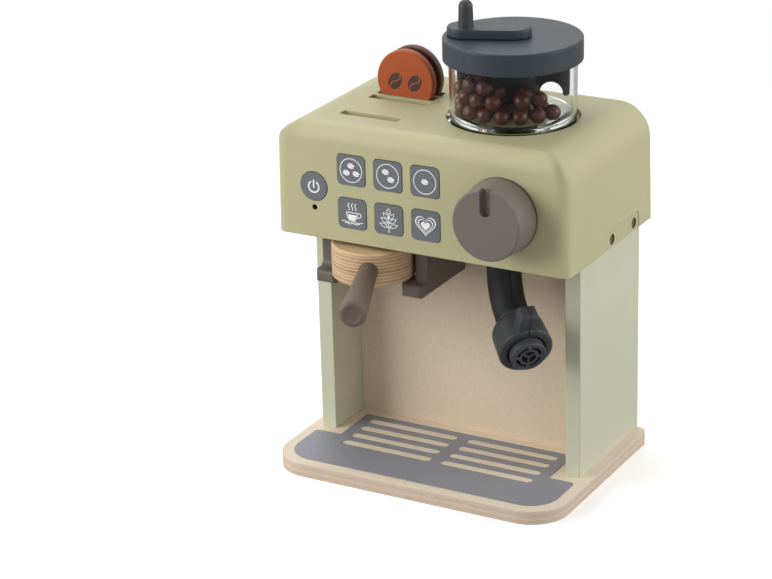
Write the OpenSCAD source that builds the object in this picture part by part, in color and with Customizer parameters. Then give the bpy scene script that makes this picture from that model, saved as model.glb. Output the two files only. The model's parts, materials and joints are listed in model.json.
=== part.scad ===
// Toy coffee maker: wooden stand, moulded housing, bean hopper, portafilter and steam wand.
// Front faces -Y. The origin lies under the middle of the whole outline, on the table.

/* [Stand] */
// Width of the base board
base_w = 202; // [196:1:214]
// Depth of the base board
base_d = 146; // [142:1:154]
// Thickness of the base board
base_t = 9; // [8:0.5:12]
// How far the base board stands out past each side panel
base_lip = 7.5; // [6:0.5:12]
// Radius of the two front corners of the base board
base_front_r = 25; // [12:1:32]
// Radius of the two back corners of the base board
base_back_r = 6; // [3:1:10]
// Thickness of a side panel
panel_t = 10; // [9:0.5:11]
// Depth of a side panel below the housing
panel_d = 88; // [84:1:92]
// Thickness of the back panel
back_t = 8; // [6:0.5:9]
// Set-back of the back panel from the front edge of the base board
back_set = 94; // [92:0.5:96]

/* [Drip mat] */
// Thickness of the printed mat
mat_t = 0.4; // [0.2:0.1:0.8]
// Space between the ends of the grate bars and the edge of the mat
bar_margin = 7.1; // [5:0.1:16]
// Width of a grate bar
bar_w = 6.2; // [4:0.1:8]
// Pitch of the four grate rows
bar_pitch = 12; // [10:0.5:12.5]

/* [Housing] */
// Height of the housing rim above the table
rim_z = 156; // [150:1:162]
// Height of the housing
head_h = 75; // [74:1:82]
// How far the housing stands out over each side panel
overhang = 8.1; // [7.4:0.1:8.8]
// Depth of the housing
head_d = 121; // [120:0.5:124]
// Set-back of the housing front from the front edge of the base board
head_set = 24.4; // [22:0.1:25]
// Draft of the two side walls, in degrees
draft = 1.2; // [0.5:0.1:1.5]
// Radius along the left and right top edges
side_r = 21; // [14:1:22]
// Radius along the front top edge
front_r = 11; // [8:1:12]
// Radius of the two front upright corners
upright_r = 6; // [4:1:8]
// Wall thickness of the housing
wall = 2.5; // [2:0.1:3]

/* [Buttons] */
// Side of a square button
key_side = 19.7; // [17:0.1:20.2]
// Horizontal pitch of the square buttons
key_pitch_x = 25.8; // [25:0.1:26]
// Vertical pitch of the square buttons
key_pitch_z = 28.3; // [27:0.1:29]
// Diameter of the power button
power_d = 18.9; // [16:0.1:20]
// Travel of a button
key_travel = 1.2; // [0.8:0.1:1.4]

/* [Knob] */
// Diameter of the knob where it meets the housing
knob_d = 48; // [44:0.5:49]
// How far the knob stands out
knob_h = 21.3; // [18:0.1:24]

/* [Bean hopper] */
// Outer diameter of the clear cup at its mouth
cup_d = 79.8; // [76:0.1:80.5]
// Height of the clear cup
cup_h = 45; // [42:1:50]
// Diameter of the lid
lid_d = 86.8; // [84:0.1:90]
// Height of the lid
lid_h = 14; // [12:0.5:16]
// Distance from the crank pivot to the middle of its post
crank_l = 28.8; // [24:0.1:30]
// Height of the crank post above the arm
post_h = 16.4; // [12:0.1:20]
// Diameter of a bean
bean_d = 10; // [9:0.1:10.2]

/* [Coffee discs] */
// Diameter of a coffee disc
puck_d = 40.4; // [38:0.1:40.6]
// Thickness of a coffee disc
puck_t = 5.5; // [4:0.1:6.5]

/* [Portafilter] */
// Diameter of the portafilter disc
filter_d = 52.6; // [48:0.1:54]
// Height of the portafilter disc
filter_h = 22.3; // [20:0.1:23]
// Turn of the handle away from straight ahead, in degrees
handle_turn = 22; // [0:1:30]
// Reach of the handle from the middle of the disc
handle_reach = 97.8; // [85:0.1:105]
// Diameter of the handle where it enters the disc
handle_d0 = 12.2; // [11:0.1:13]
// Diameter of the handle at its free end
handle_d1 = 16.8; // [14:0.1:18]

/* [Steam wand] */
// Outer diameter of the wand tube
tube_d = 21.4; // [20.6:0.1:22]
// Radius of the bend of the wand tube
bend_r = 28; // [26:1:30]
// Turn of the wand away from straight ahead, in degrees
wand_turn = 45; // [0:1:50]
// Dip of the nozzle below level, in degrees
nozzle_dip = 23; // [18:1:28]
// Outer diameter of the barrel at its rim
nozzle_d = 34; // [32.6:0.1:36]

/* [Hidden] */

$fn = 64;
eps = 0.01;
seat = 0.3;                       // gap between neighbouring pieces that only rest together
running = 0.05;                   // radial clearance of a turning fit

paint = [0.78, 0.79, 0.69];       // sage green paint
shell_green = [0.74, 0.73, 0.58];
ply = [0.87, 0.76, 0.62];
slate = [0.44, 0.46, 0.47];
charcoal = [0.24, 0.25, 0.26];
taupe = [0.46, 0.42, 0.39];
steel = [0.75, 0.76, 0.78];

// depth axis: the front edge of the base board and the free end of the handle set the outline
handle_round = 1.5;
filter_y = 41.7;                  // middle of the portafilter disc behind the base board's front edge
handle_tip = filter_y - handle_reach * cos(handle_turn) - (handle_d1 / 2 - handle_round) * sin(handle_turn);
front_y = -(base_d + min(0, handle_tip)) / 2;
back_y = front_y + base_d;
stand_w = base_w - 2 * base_lip;
half_w = stand_w / 2;
panel_back = back_y;
panel_front = panel_back - panel_d;
back_front = front_y + back_set;

// housing
head_front = front_y + head_set;
head_back = head_front + head_d;
head_w = stand_w + 2 * overhang;  // at the rim
half_head = head_w / 2;
top_z = rim_z + head_h;
floor_z = rim_z + 2;
floor_t = 3;
floor_top = floor_z + floor_t;
tongue_h = 16;
tongue_front = panel_front + 12;
tongue_back = min(panel_back, head_back - 1) - 8;

// buttons, from the middle of the housing
key_x = [-46.3, -46.3 + key_pitch_x, -46.3 + 2 * key_pitch_x];
key_low = rim_z + 19.6;
key_high = key_low + key_pitch_z;
power_x = -73.4;
power_z = rim_z + 33.7;
pin_z = rim_z + 19.8;
pin_d = 3.7;
key_proud = 0.4;
key_gap = 0.25;
key_corner = 3;
cap_depth = 6.4;
flange_t = 1.6;
plunger_end = head_front + 11.4;
switch_front = plunger_end + key_travel + 0.2;
board_y = switch_front + 3.6;
board_t = 1.6;

// knob
knob_x = 57.4;
knob_z = rim_z + 34.5;
spindle_r = 4;
knob_gap = 0.7;
boss_l = 14;

// slots and coffee discs
slot_l = 41;
slot_w = 7.5;
slot_x = -67.5;
slot_y = [48, 85, 95.5, 106];     // behind the base board's front edge
slot_depth = 10.5;
puck_play = [0.8, 0.4];           // space in front of the orange and the brown disc
puck_z = top_z - slot_depth + seat + puck_d / 2;

// bean hopper
hopper_x = 32.8;
hopper_set = 89.9;                // behind the base board's front edge
hopper_y = front_y + hopper_set;
seat_depth = 3;
cup_floor = top_z - seat_depth + seat;
cup_top = cup_floor + cup_h;
cup_wall = 2;
seat_r = cup_d / 2 + 1.8;
lid_top = cup_top + 2 + 6.8;
lid_under = lid_top - lid_h;
lid_plate = 3.5;
arm_t = 5.5;
arm_z = lid_top + 0.4;
crank_angle = 180 + 21.2;
hub_r = 16.5;
hub_foot_r = 7;
hub_foot_h = 6;
shaft_r = 4;
shaft_drop = 26;                  // below the underside of the lid
lug_w = 8;
lug_l = 4.2;
lug_h = 4;

// portafilter and rails
filter_top = rim_z - 3.1;
filter_bottom = filter_top - filter_h;
rail_in = filter_d / 2 + 2.9;
rail_out = rail_in + 8.5;
ledge_in = filter_d / 2 - 2.3;
ledge_t = 8.2;
ledge_z = filter_bottom - seat - ledge_t;
rail_front = front_y + 33;
rail_jut = 10;
rail_back = back_front - seat;
handle_z = (filter_top + filter_bottom) / 2;
rail_gap = 3.6;                   // space between the left side panel and its rail
filter_x = rail_out + rail_gap + panel_t - half_w;

// steam wand
wand_x = 42;
wand_y = front_y + 57;
wand_top = floor_z - seat;
tube_r = tube_d / 2;
tube_wall = 2;
bend_z = rim_z - 14;
bend_angle = 53.1301;             // a 3-4-5 slope, so both ends of the bend meet their straights exactly
spigot_r = 7.95;
seam = 0.35;
barrel_l = 24.5;
barrel_r1 = nozzle_d / 2;
barrel_r0 = barrel_r1 - 0.7;
nozzle_proud = 5.3;               // grille in front of the rim

// ---------- shared shapes ----------

module round_box(x, y, z, r) {
    // upright block with four round corners, centred in X and Y
    linear_extrude(z) round_rect(x, y, r);
}

module round_rect(x, y, r) {
    square([x - 2 * r, y], center = true);
    square([x, y - 2 * r], center = true);
    for (sx = [-1, 1], sy = [-1, 1])
        translate([sx * (x / 2 - r), sy * (y / 2 - r)]) circle(r);
}

module stadium(l, w) {
    square([l - w, w], center = true);
    for (s = [-1, 1]) translate([s * (l - w) / 2, 0]) circle(w / 2);
}

module tube(r_out, r_in, h) {
    difference() {
        cylinder(h, r = r_out);
        translate([0, 0, -1]) cylinder(h + 2, r = r_in);
    }
}

module cross_recess(size, depth) {
    // cross recess cut down from z = 0
    for (a = [0, 90]) rotate(a) translate([0, 0, -depth / 2])
        cube([size, size / 4, depth + eps], center = true);
}

module pan_screw(head_r, head_h, shank_r, shank_l) {
    // head on top of z = 0, shank below
    difference() {
        union() {
            cylinder(head_h * 0.6, r = head_r);
            translate([0, 0, head_h * 0.6]) cylinder(head_h * 0.4, r1 = head_r, r2 = head_r * 0.72);
            translate([0, 0, -shank_l]) cylinder(shank_l + eps, r = shank_r);
            translate([0, 0, -shank_l - shank_r]) cylinder(shank_r + eps, r1 = 0.3, r2 = shank_r);
        }
        translate([0, 0, head_h]) cross_recess(head_r * 1.1, head_h * 0.6);
    }
}

module flat_screw(head_r, head_h, shank_r, shank_l) {
    // flush head below z = 0, shank below it
    difference() {
        union() {
            translate([0, 0, -head_h]) cylinder(head_h, r1 = shank_r, r2 = head_r);
            translate([0, 0, -shank_l]) cylinder(shank_l - head_h + eps, r = shank_r);
            translate([0, 0, -shank_l - shank_r]) cylinder(shank_r + eps, r1 = 0.3, r2 = shank_r);
        }
        cross_recess(head_r * 1.1, head_h * 0.6);
    }
}

// ---------- stand ----------

base_screw_y = [panel_front + 14, panel_back - 14];
base_head_r = 4.2;
base_shank_r = 2.1;

module at_base_screws(first = 0, last = 3) {
    for (i = [first : last]) {
        side = i < 2 ? -1 : 1;
        translate([side * (half_w - panel_t / 2), base_screw_y[i % 2], 0.4]) rotate([180, 0, 0]) children();
    }
}

module base_board() {
    color(ply) difference() {
        linear_extrude(base_t) base_outline();
        at_base_screws() {
            translate([0, 0, -4]) cylinder(5, r1 = base_shank_r + 0.1, r2 = base_head_r + 0.9);
            translate([0, 0, -base_t - 1]) cylinder(base_t + 2, r = base_shank_r + 0.1);
        }
    }
}

module base_outline() {
    w = base_w / 2;
    translate([-w + base_front_r, front_y]) square([base_w - 2 * base_front_r, base_d]);
    translate([-w, front_y + base_front_r]) square([base_w, base_d - base_front_r - base_back_r]);
    translate([-w + base_back_r, back_y - base_back_r - 1])
        square([base_w - 2 * base_back_r, base_back_r + 1]);
    for (s = [-1, 1]) {
        translate([s * (w - base_front_r), front_y + base_front_r]) circle(base_front_r);
        translate([s * (w - base_back_r), back_y - base_back_r]) circle(base_back_r);
    }
}

module drip_mat() {
    margin = 7.5;
    wing_y = 50;                  // wings end just in front of the side panels
    inner_half = stand_w / 2 - panel_t - margin - 0.5;
    outer_half = base_w / 2 - margin;
    corner = base_front_r - margin + 1;
    row0 = 41;
    spine = 3.7;
    bar_l = inner_half - spine - bar_margin;
    column = spine + bar_l / 2;
    color(slate) translate([0, front_y, base_t]) linear_extrude(mat_t) difference() {
        union() {
            translate([-outer_half + corner, margin]) square([2 * (outer_half - corner), wing_y - margin]);
            translate([-outer_half, margin + corner]) square([2 * outer_half, wing_y - margin - corner - 3]);
            translate([-outer_half + 3, wing_y - 4]) square([2 * outer_half - 6, 4]);
            for (s = [-1, 1]) {
                translate([s * (outer_half - corner), margin + corner]) circle(corner);
                translate([s * (outer_half - 3), wing_y - 3]) circle(3);
            }
            translate([-inner_half, wing_y - 5]) square([2 * inner_half, back_set - 8 - wing_y + 5]);
        }
        for (row = [0 : 3], s = [-1, 1])
            translate([s * column, row0 + row * bar_pitch]) stadium(bar_l, bar_w);
    }
}

module side_panel(side) {
    x0 = side < 0 ? -half_w : half_w - panel_t;
    difference() {
        union() {
            translate([x0, panel_front, base_t]) cube([panel_t, panel_d, rim_z - base_t - seat]);
            translate([x0, tongue_front, base_t])
                cube([panel_t, tongue_back - tongue_front, rim_z - base_t + tongue_h]);
        }
        at_base_screws() translate([0, 0, -34]) cylinder(40, r = base_shank_r + 0.1);
        at_side_screws(side) translate([0, 0, -10.8]) cylinder(10, r = side_shank_r + 0.1);
    }
}

module side_panel_left() color(paint) side_panel(-1);

module side_panel_right() color(paint) side_panel(1);

module back_panel() {
    gap = 0.2;
    color(ply) translate([-half_w + panel_t + gap, back_front, base_t])
        cube([stand_w - 2 * panel_t - 2 * gap, back_t, floor_z - base_t - seat]);
}

module base_screw() color(steel) flat_screw(base_head_r, 3, base_shank_r, 30);

// ---------- housing ----------

beyond = 30;                      // how far the cutting shapes reach past the housing

module leaning_wall(half, y0, y1, r, sharp) {
    // everything inside one side wall, which leans in by the draft; upright corners of radius r
    translate([half, 0, rim_z]) rotate([0, -draft, 0]) translate([0, 0, -12]) linear_extrude(head_h + 24) {
        translate([-2 * half - 20, y0]) square([2 * half + 20 - r, y1 - y0]);
        translate([-r - 1, y0 + r]) square([r + 1, y1 - y0 - (sharp ? 1 : 2) * r]);
        for (y = sharp ? [y0 + r] : [y0 + r, y1 - r]) translate([-r, y]) circle(r);
    }
}

module top_arch(half, r, z1) {
    // front view of the roof: flat top with a round shoulder each side, wide open below
    zc = z1 - r;
    xc = half - (zc - rim_z) * tan(draft) - r / cos(draft);
    z_touch = zc + r * sin(draft);
    translate([-half - beyond, rim_z - 8]) square([2 * half + 2 * beyond, z_touch - rim_z + 8]);
    translate([-xc, zc]) square([2 * xc, r]);
    for (s = [-1, 1]) translate([s * xc, zc]) circle(r);
}

module top_side(y0, y1, r, z1, sharp) {
    // side view of the roof: flat top with round edges, wide open below
    translate([y0 - 20, rim_z - 8]) square([y1 - y0 + 40, z1 - r - rim_z + 8]);
    translate([y0 + r, rim_z]) square([y1 - y0 + (sharp ? 20 : -2 * r), z1 - rim_z]);
    for (y = sharp ? [y0 + r] : [y0 + r, y1 - r]) translate([y, z1 - r]) circle(r);
}

module housing_form(inset, sharp) {
    // sharp: the edges round the back stay square
    half = half_head - inset;
    y0 = head_front + inset;
    y1 = head_back - inset;
    intersection() {
        leaning_wall(half, y0, y1, upright_r - inset, sharp);
        mirror([1, 0, 0]) leaning_wall(half, y0, y1, upright_r - inset, sharp);
        translate([0, y1 + beyond, 0]) rotate([90, 0, 0]) linear_extrude(y1 - y0 + 2 * beyond)
            top_arch(half, side_r - inset, top_z - inset);
        translate([-half - beyond, 0, 0]) rotate([90, 0, 90]) linear_extrude(2 * half + 2 * beyond)
            top_side(y0, y1, front_r - inset, top_z - inset, sharp);
    }
}

module on_side(side) {
    // frame of a side wall: x = 0 on its outer face, z = 0 at the rim, +X outwards
    mirror([side < 0 ? 1 : 0, 0, 0]) translate([half_head, 0, rim_z]) rotate([0, -draft, 0]) children();
}

side_plate_l = 46;
side_plate_set = 9.7;             // from the back end of the tongue behind it
side_plate_y = [tongue_back - side_plate_set - side_plate_l, tongue_back - side_plate_set];
side_plate_h = 11.2;
side_plate_t = 1.1;
side_plate_sunk = 0.3;            // below the face of the side wall
side_screw_in = 6.7;              // from each end of the plate
side_screw_y = [side_plate_y[0] + side_screw_in, side_plate_y[1] - side_screw_in];
side_screw_z = 4.7;
side_screw_sunk = overhang - 2.2;  // underside of the screw head, 2 mm short of the tongue's slot
side_head_r = 3.4;
side_shank_r = 1.7;

module at_side_screws(side, both = [0, 1]) {
    for (i = both) on_side(side) translate([-side_screw_sunk, side_screw_y[i], side_screw_z])
        rotate([0, 90, 0]) children();
}

module key_window(i) {
    z = i < 3 ? key_high : key_low;
    translate([key_x[i % 3], head_front - 1, z]) rotate([-90, 0, 0])
        linear_extrude(wall + 2)
            round_rect(key_side + 2 * key_gap, key_side + 2 * key_gap, key_corner + key_gap);
}

module head_shell() {
    color(shell_green) difference() {
        housing_form(0, true);
        difference() {
            housing_form(wall, false);
            slot_block();
            seat_block();
            shell_bosses();
        }
        translate([-half_head - 5, head_front - 1, rim_z - 20]) cube([head_w + 10, head_d + 2, 20]);
        for (y = slot_y) translate([slot_x, front_y + y, top_z - slot_depth])
            cube([slot_l, slot_w, slot_depth + 2]);
        translate([hopper_x, hopper_y, top_z - seat_depth]) cylinder(seat_depth + 2, r = seat_r);
        for (i = [0 : 5]) key_window(i);
        translate([power_x, head_front - 1, power_z]) rotate([-90, 0, 0])
            cylinder(wall + 2, d = power_d + 2 * key_gap);
        translate([power_x, head_front - 1, pin_z]) rotate([-90, 0, 0]) cylinder(wall + 2, d = pin_d);
        translate([knob_x, head_front - 1, knob_z]) rotate([-90, 0, 0]) cylinder(20, r = spindle_r + running);
        for (s = [-1, 1]) {
            on_side(s) translate([-side_plate_sunk - side_plate_t - 0.1, 0, 0])
                side_plate_form(side_plate_t + 2, 0.15);
            at_side_screws(s) {
                translate([0, 0, -seat]) cylinder(overhang, r = side_head_r + 0.2);
                translate([0, 0, -12]) cylinder(14, r = side_shank_r + 0.2);
            }
            translate([s * (half_w - panel_t / 2), (tongue_front + tongue_back) / 2, rim_z - 1])
                round_box(panel_t + 0.4, tongue_back - tongue_front + 0.6, tongue_h + 1.4, 0.5);
        }
    }
}

module slot_block() {
    // solid web under the roof that the four slots are sunk into
    floor_thick = 2.4;
    translate([slot_x - 2.4, front_y + slot_y[0] - 2.4, top_z - slot_depth - floor_thick])
        cube([slot_l + 4.8, slot_w + 4.8, slot_depth + floor_thick + 2]);
    translate([slot_x - 2.4, front_y + slot_y[1] - 2.4, top_z - slot_depth - floor_thick])
        cube([slot_l + 4.8, slot_y[3] + slot_w - slot_y[1] + 4.8, slot_depth + floor_thick + 2]);
}

module seat_block() {
    translate([hopper_x, hopper_y, top_z - seat_depth - 2.5]) cylinder(seat_depth + 4, r = seat_r + 2.5);
}

module shell_bosses() {
    // knob boss, pads behind the side plates, four posts down to the floor plate, four to the board
    translate([knob_x, head_front, knob_z]) rotate([-90, 0, 0]) cylinder(boss_l, r = 9);
    for (s = [-1, 1]) {
        on_side(s) for (y = side_screw_y) translate([-overhang - 1, y, side_screw_z]) rotate([0, 90, 0])
            cylinder(overhang, r = 5.4);
        for (p = post_at) translate([s * p[0], p[1], floor_top + seat]) cylinder(head_h, r = post_r);
    }
    at_board_posts() {
        cylinder(board_y - seat - head_front, r = 3);
        cylinder(board_y + board_t + 1 - head_front, r = 1.2);
    }
}

post_at = [[half_head - 9, head_front + 8.5], [half_head - 30, head_back - 9]];
post_r = 3.5;

module head_floor() {
    gap = 0.4;
    w = 2 * (half_head - wall - gap) - 2 * (floor_top - rim_z) * tan(draft);
    y0 = head_front + wall + gap;
    y1 = head_back - wall - gap;
    color(shell_green) difference() {
        union() {
            translate([0, (y0 + y1) / 2, floor_z]) round_box(w, y1 - y0, floor_t, 3);
            translate([wand_x, wand_y, floor_z]) cylinder(8, r = 11);
        }
        for (s = [-1, 1])
            translate([s * (half_w - panel_t - 0.2 + 20), (tongue_front + tongue_back) / 2, floor_z - 1])
                round_box(40, tongue_back - tongue_front + 0.6, floor_t + 2, 0.5);
        translate([wand_x, wand_y, floor_z - 1]) cylinder(12, r = spigot_r + running);
        at_rail_screws() translate([0, 0, -14]) cylinder(14, r = rail_shank_r + 0.1);
        translate([0, battery_y, floor_z - 1]) round_box(battery_w + 0.8, battery_d + 0.8, floor_t + 2, 1);
        translate([speaker_x, speaker_y, floor_z - 1]) speaker_holes();
    }
}

module speaker_holes() {
    cylinder(floor_t + 2, d = 3);
    for (a = [0 : 60 : 300]) rotate(a) translate([6, 0, 0]) cylinder(floor_t + 2, d = 3);
}

module side_plate_form(depth, grow) {
    // outline on the side wall, round at its two top corners, open at the rim
    y0 = side_plate_y[0] - grow;
    y1 = side_plate_y[1] + grow;
    h = side_plate_h + grow;
    r = 3;
    rotate([90, 0, 90]) linear_extrude(depth) {
        translate([y0, -1]) square([y1 - y0, h - r + 1]);
        translate([y0 + r, 0]) square([y1 - y0 - 2 * r, h]);
        for (y = [y0 + r, y1 - r]) translate([y, h - r]) circle(r);
    }
}

module side_plate(side) {
    color(shell_green) difference() {
        on_side(side) translate([-side_plate_sunk - side_plate_t, 0, 0]) side_plate_form(side_plate_t, -0.1);
        at_side_screws(side) cylinder(overhang, r = side_head_r + 0.1);
        translate([-half_head - 5, head_front, rim_z - 10]) cube([head_w + 10, head_d, 10]);
    }
}

module side_plate_left() side_plate(-1);

module side_plate_right() side_plate(1);

module side_screw() color(steel) pan_screw(side_head_r, 2, side_shank_r, 8);

// ---------- buttons and electronics ----------

module cap_body(side, round_cap) {
    // button cap, retaining flange and plunger along +Y from the front face
    rotate([-90, 0, 0]) {
        if (round_cap) {
            cylinder(cap_depth, d = side);
            translate([0, 0, wall + key_proud + seat]) cylinder(flange_t, d = side + 2);
        } else {
            linear_extrude(cap_depth) round_rect(side, side, key_corner);
            translate([0, 0, wall + key_proud + seat]) linear_extrude(flange_t)
                round_rect(side + 2, side + 2, key_corner + 1);
        }
        cylinder(plunger_end - head_front + key_proud, r = 2.5);
    }
}

module power_button() {
    color(slate) translate([power_x, head_front - key_proud, power_z]) cap_body(power_d, true);
}

module key(i) {
    z = i < 3 ? key_high : key_low;
    color(slate) translate([key_x[i % 3], head_front - key_proud, z]) cap_body(key_side, false);
}

module key_triple() key(0);

module key_double() key(1);

module key_single() key(2);

module key_cup() key(3);

module key_leaf() key(4);

module key_heart() key(5);

module push_switch() {
    // square switch body with its round actuator towards -Y
    rotate([-90, 0, 0]) {
        cylinder(2, r = 1.7);
        translate([-3, -3, 1]) cube([6, 6, board_y - switch_front - 1 + eps]);
    }
}

board_x = [power_x - 13, key_x[2] + 19];
board_z = [key_low - 11, key_high + 10];

module at_board_posts() {
    for (x = [board_x[0] + 4, board_x[1] - 4], z = [board_z[0] + 4, board_z[1] - 4])
        translate([x, head_front, z]) rotate([-90, 0, 0]) children();
}

module control_board() {
    color([0.12, 0.35, 0.22]) {
        difference() {
            translate([board_x[0], board_y, board_z[0]])
                cube([board_x[1] - board_x[0], board_t, board_z[1] - board_z[0]]);
            at_board_posts() cylinder(60, r = 1.5);
        }
        for (i = [0 : 5]) translate([key_x[i % 3], switch_front, i < 3 ? key_high : key_low]) push_switch();
        translate([power_x, switch_front, power_z]) push_switch();
    }
}

module pin_lamp() {
    color([0.85, 0.2, 0.15]) translate([power_x, head_front + wall + 0.6, pin_z]) rotate([-90, 0, 0]) {
        translate([0, 0, 1.5]) cylinder(3.5, r = 1.5);
        translate([0, 0, 1.5]) sphere(1.5);
        translate([0, 0, 4]) cylinder(1, r = 1.9);
        for (s = [-1, 1]) translate([s * 1.27 - 0.3, -0.3, 4.5])
            cube([0.6, 0.6, board_y - head_front - wall - 5.1]);
    }
}

speaker_x = 0;
speaker_y = (head_front + rail_back) / 2 + 17;

module speaker() {
    color(charcoal) translate([speaker_x, speaker_y, floor_top]) {
        difference() {
            cylinder(3, r = 16);
            translate([0, 0, -1]) cylinder(3, r = 14);
        }
        translate([0, 0, 3 - eps]) cylinder(4, r1 = 13, r2 = 9);
        translate([0, 0, 7 - 2 * eps]) cylinder(4, r = 9);
    }
}

battery_w = 68;
battery_d = 32;
battery_wall = 1.5;
cell_r = 7;
cell_l = 50;
door_t = 2.2;
door_z = floor_z - 1.6;
cell_z = door_z + door_t + seat + cell_r;
cell_x = -battery_w / 2 + battery_wall + seat + cell_l / 2;
box_z = door_z + door_t + seat;
box_top = cell_z + cell_r + seat + battery_wall;
battery_y = head_back - battery_d / 2 - 7.4;
door_screw_x = battery_w / 2 - 7;

module battery_box() {
    // open below; the block at one end takes the door's screw
    cavity = cell_l + 2 * seat;
    color(charcoal) translate([0, battery_y, 0]) difference() {
        union() {
            translate([0, 0, box_z]) round_box(battery_w, battery_d, box_top - box_z, 1);
            translate([0, 0, floor_top]) round_box(battery_w + 6, battery_d + 4, 1.5, 1);
        }
        translate([cell_x, 0, box_z - 1])
            round_box(cavity, battery_d - 2 * battery_wall, box_top - box_z + 1 - battery_wall, 0.8);
        translate([door_screw_x, 0, box_z - 1]) cylinder(9, r = 1.25);
    }
}

module battery_cells() {
    for (s = [-1, 1]) color([0.3, 0.3, 0.32])
        translate([cell_x, battery_y + s * (cell_r + 0.1), cell_z]) rotate([0, s * 90, 0]) {
            translate([0, 0, -cell_l / 2]) cylinder(cell_l - 1, r = cell_r);
            translate([0, 0, cell_l / 2 - 1 - eps]) cylinder(1 + eps, r = 2.7);
        }
}

module battery_door() {
    grip = 7;
    color(shell_green) difference() {
        translate([0, battery_y, door_z]) round_box(battery_w - 0.2, battery_d - 0.2, door_t, 1);
        translate([door_screw_x, battery_y, door_z - 1]) cylinder(6, r = 1.4);
        for (i = [-2 : 2]) translate([i * grip - 5, battery_y - 6, door_z - 0.4]) cube([2, 12, 1]);
    }
}

module door_screw() {
    color(steel) translate([door_screw_x, battery_y, door_z]) rotate([180, 0, 0]) pan_screw(2.4, 1.4, 1.2, 7);
}

// ---------- knob ----------

module selector_knob() {
    skirt = 1.2;
    groove_w = 7.2;
    groove_in = 9;                // from the middle of the face
    groove_deep = 4;
    color(taupe) translate([knob_x, head_front - knob_gap, knob_z]) rotate([90, 0, 0]) difference() {
        rotate_extrude() difference() {
            union() {
                polygon([[0, 0], [knob_d / 2, 0], [knob_d / 2 - 1.5, knob_h - skirt], [0, knob_h - skirt]]);
                square([knob_d / 2 - 1.5 - skirt, knob_h]);
                translate([knob_d / 2 - 1.5 - skirt, knob_h - skirt]) circle(skirt);
            }
            translate([knob_d / 2 - 9, -1]) square([6.5, 8]);
        }
        translate([-groove_w / 2, groove_in, knob_h - groove_deep]) cube([groove_w, knob_d, groove_deep + 1]);
        translate([0, groove_in, knob_h - groove_deep]) cylinder(groove_deep + 1, d = groove_w);
        translate([0, 0, -1]) cylinder(spindle_in + 1.5, r = spindle_r + 0.02);
    }
}

spindle_in = 11.5;

module knob_spindle() {
    start = head_front - knob_gap - spindle_in;
    color(steel) translate([knob_x, start, knob_z]) rotate([-90, 0, 0]) difference() {
        cylinder(spindle_in + knob_gap + boss_l + 5, r = spindle_r);
        translate([0, 0, spindle_in + knob_gap + boss_l + seat - 0.1]) tube(spindle_r + 1, spindle_r - 0.8, 2);
    }
}

module spindle_collar() {
    // spring washer that snaps into the spindle's groove behind the boss
    color(steel) translate([knob_x, head_front + boss_l + seat, knob_z]) rotate([-90, 0, 0])
        tube(spindle_collar_r, spindle_r - 0.7, 1.8);
}

spindle_collar_r = 7;

// ---------- bean hopper ----------

module at_hopper(z) translate([hopper_x, hopper_y, z]) children();

module hopper_cup() {
    color([0.85, 0.88, 0.88, 0.4]) at_hopper(cup_floor) difference() {
        union() {
            cylinder(cup_h, r1 = cup_d / 2 - 0.6, r2 = cup_d / 2);
            for (a = [-35, 85, 205]) rotate(a) translate([cup_d / 2 + 1.2 - lug_l, -lug_w / 2, 0])
                cube([lug_l, lug_w, lug_h]);
        }
        translate([0, 0, cup_wall])
            cylinder(cup_h, r1 = cup_d / 2 - 0.6 - cup_wall, r2 = cup_d / 2 - cup_wall);
    }
}

bean_r = bean_d / 2;
bean_floor = cup_floor + cup_wall + 0.2;
beans_outer = 14;
beans_inner = 7;
outer_ring_r = cup_d / 2 - cup_wall - bean_r - 1.4;
inner_ring_r = (outer_ring_r - bean_r + hub_r) / 2;
inner_bean_r = min(bean_r - 0.6, inner_ring_r - hub_r - 0.3);

module coffee_beans() {
    // loose beans: one layer round the wall below the stirrer fingers, two layers in the gap round the hub
    color([0.38, 0.2, 0.14]) at_hopper(bean_floor) {
        for (i = [0 : beans_outer - 1]) rotate(i * 360 / beans_outer + 7)
            translate([outer_ring_r, 0, bean_r]) sphere(bean_r);
        for (layer = [0, 1], i = [0 : beans_inner - 1]) rotate(i * 360 / beans_inner + layer * 25)
            translate([inner_ring_r, 0, inner_bean_r + layer * (2 * inner_bean_r + 0.3)]) sphere(inner_bean_r);
    }
}

module hopper_lid() {
    bevel = 0.8;
    color(charcoal) at_hopper(lid_under) difference() {
        rotate_extrude() difference() {
            polygon([[0, 0], [lid_d / 2, 0], [lid_d / 2, lid_h - bevel], [lid_d / 2 - bevel, lid_h],
                [0, lid_h]]);
            translate([cup_d / 2 - cup_wall - 0.4, -1]) square([cup_wall + 0.8, cup_top - lid_under + 1 + 0.3]);
            translate([-1, -1]) square([cup_d / 2 - cup_wall - 1.4, lid_h - lid_plate + 1]);
        }
        translate([0, 0, -1]) cylinder(lid_h + 2, r = shaft_r + running);
    }
}

module crank_arm() {
    arm_r = 11.8;
    edge = 0.9;
    color(charcoal) at_hopper(arm_z) rotate(crank_angle) difference() {
        union() {
            linear_extrude(arm_t - edge) translate([crank_l / 2, 0]) stadium(crank_l + 2 * arm_r, 2 * arm_r);
            translate([0, 0, arm_t - edge - eps]) linear_extrude(edge + eps)
                translate([crank_l / 2, 0]) stadium(crank_l + 2 * arm_r - 1.2, 2 * arm_r - 1.2);
        }
        translate([crank_l, 0, -1]) cylinder(arm_t + 2, r = post_pin_r + 0.05);
        translate([0, 0, -1]) cylinder(arm_t, r = shaft_r + 0.02);
    }
}

post_pin_r = 2.6;

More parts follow.
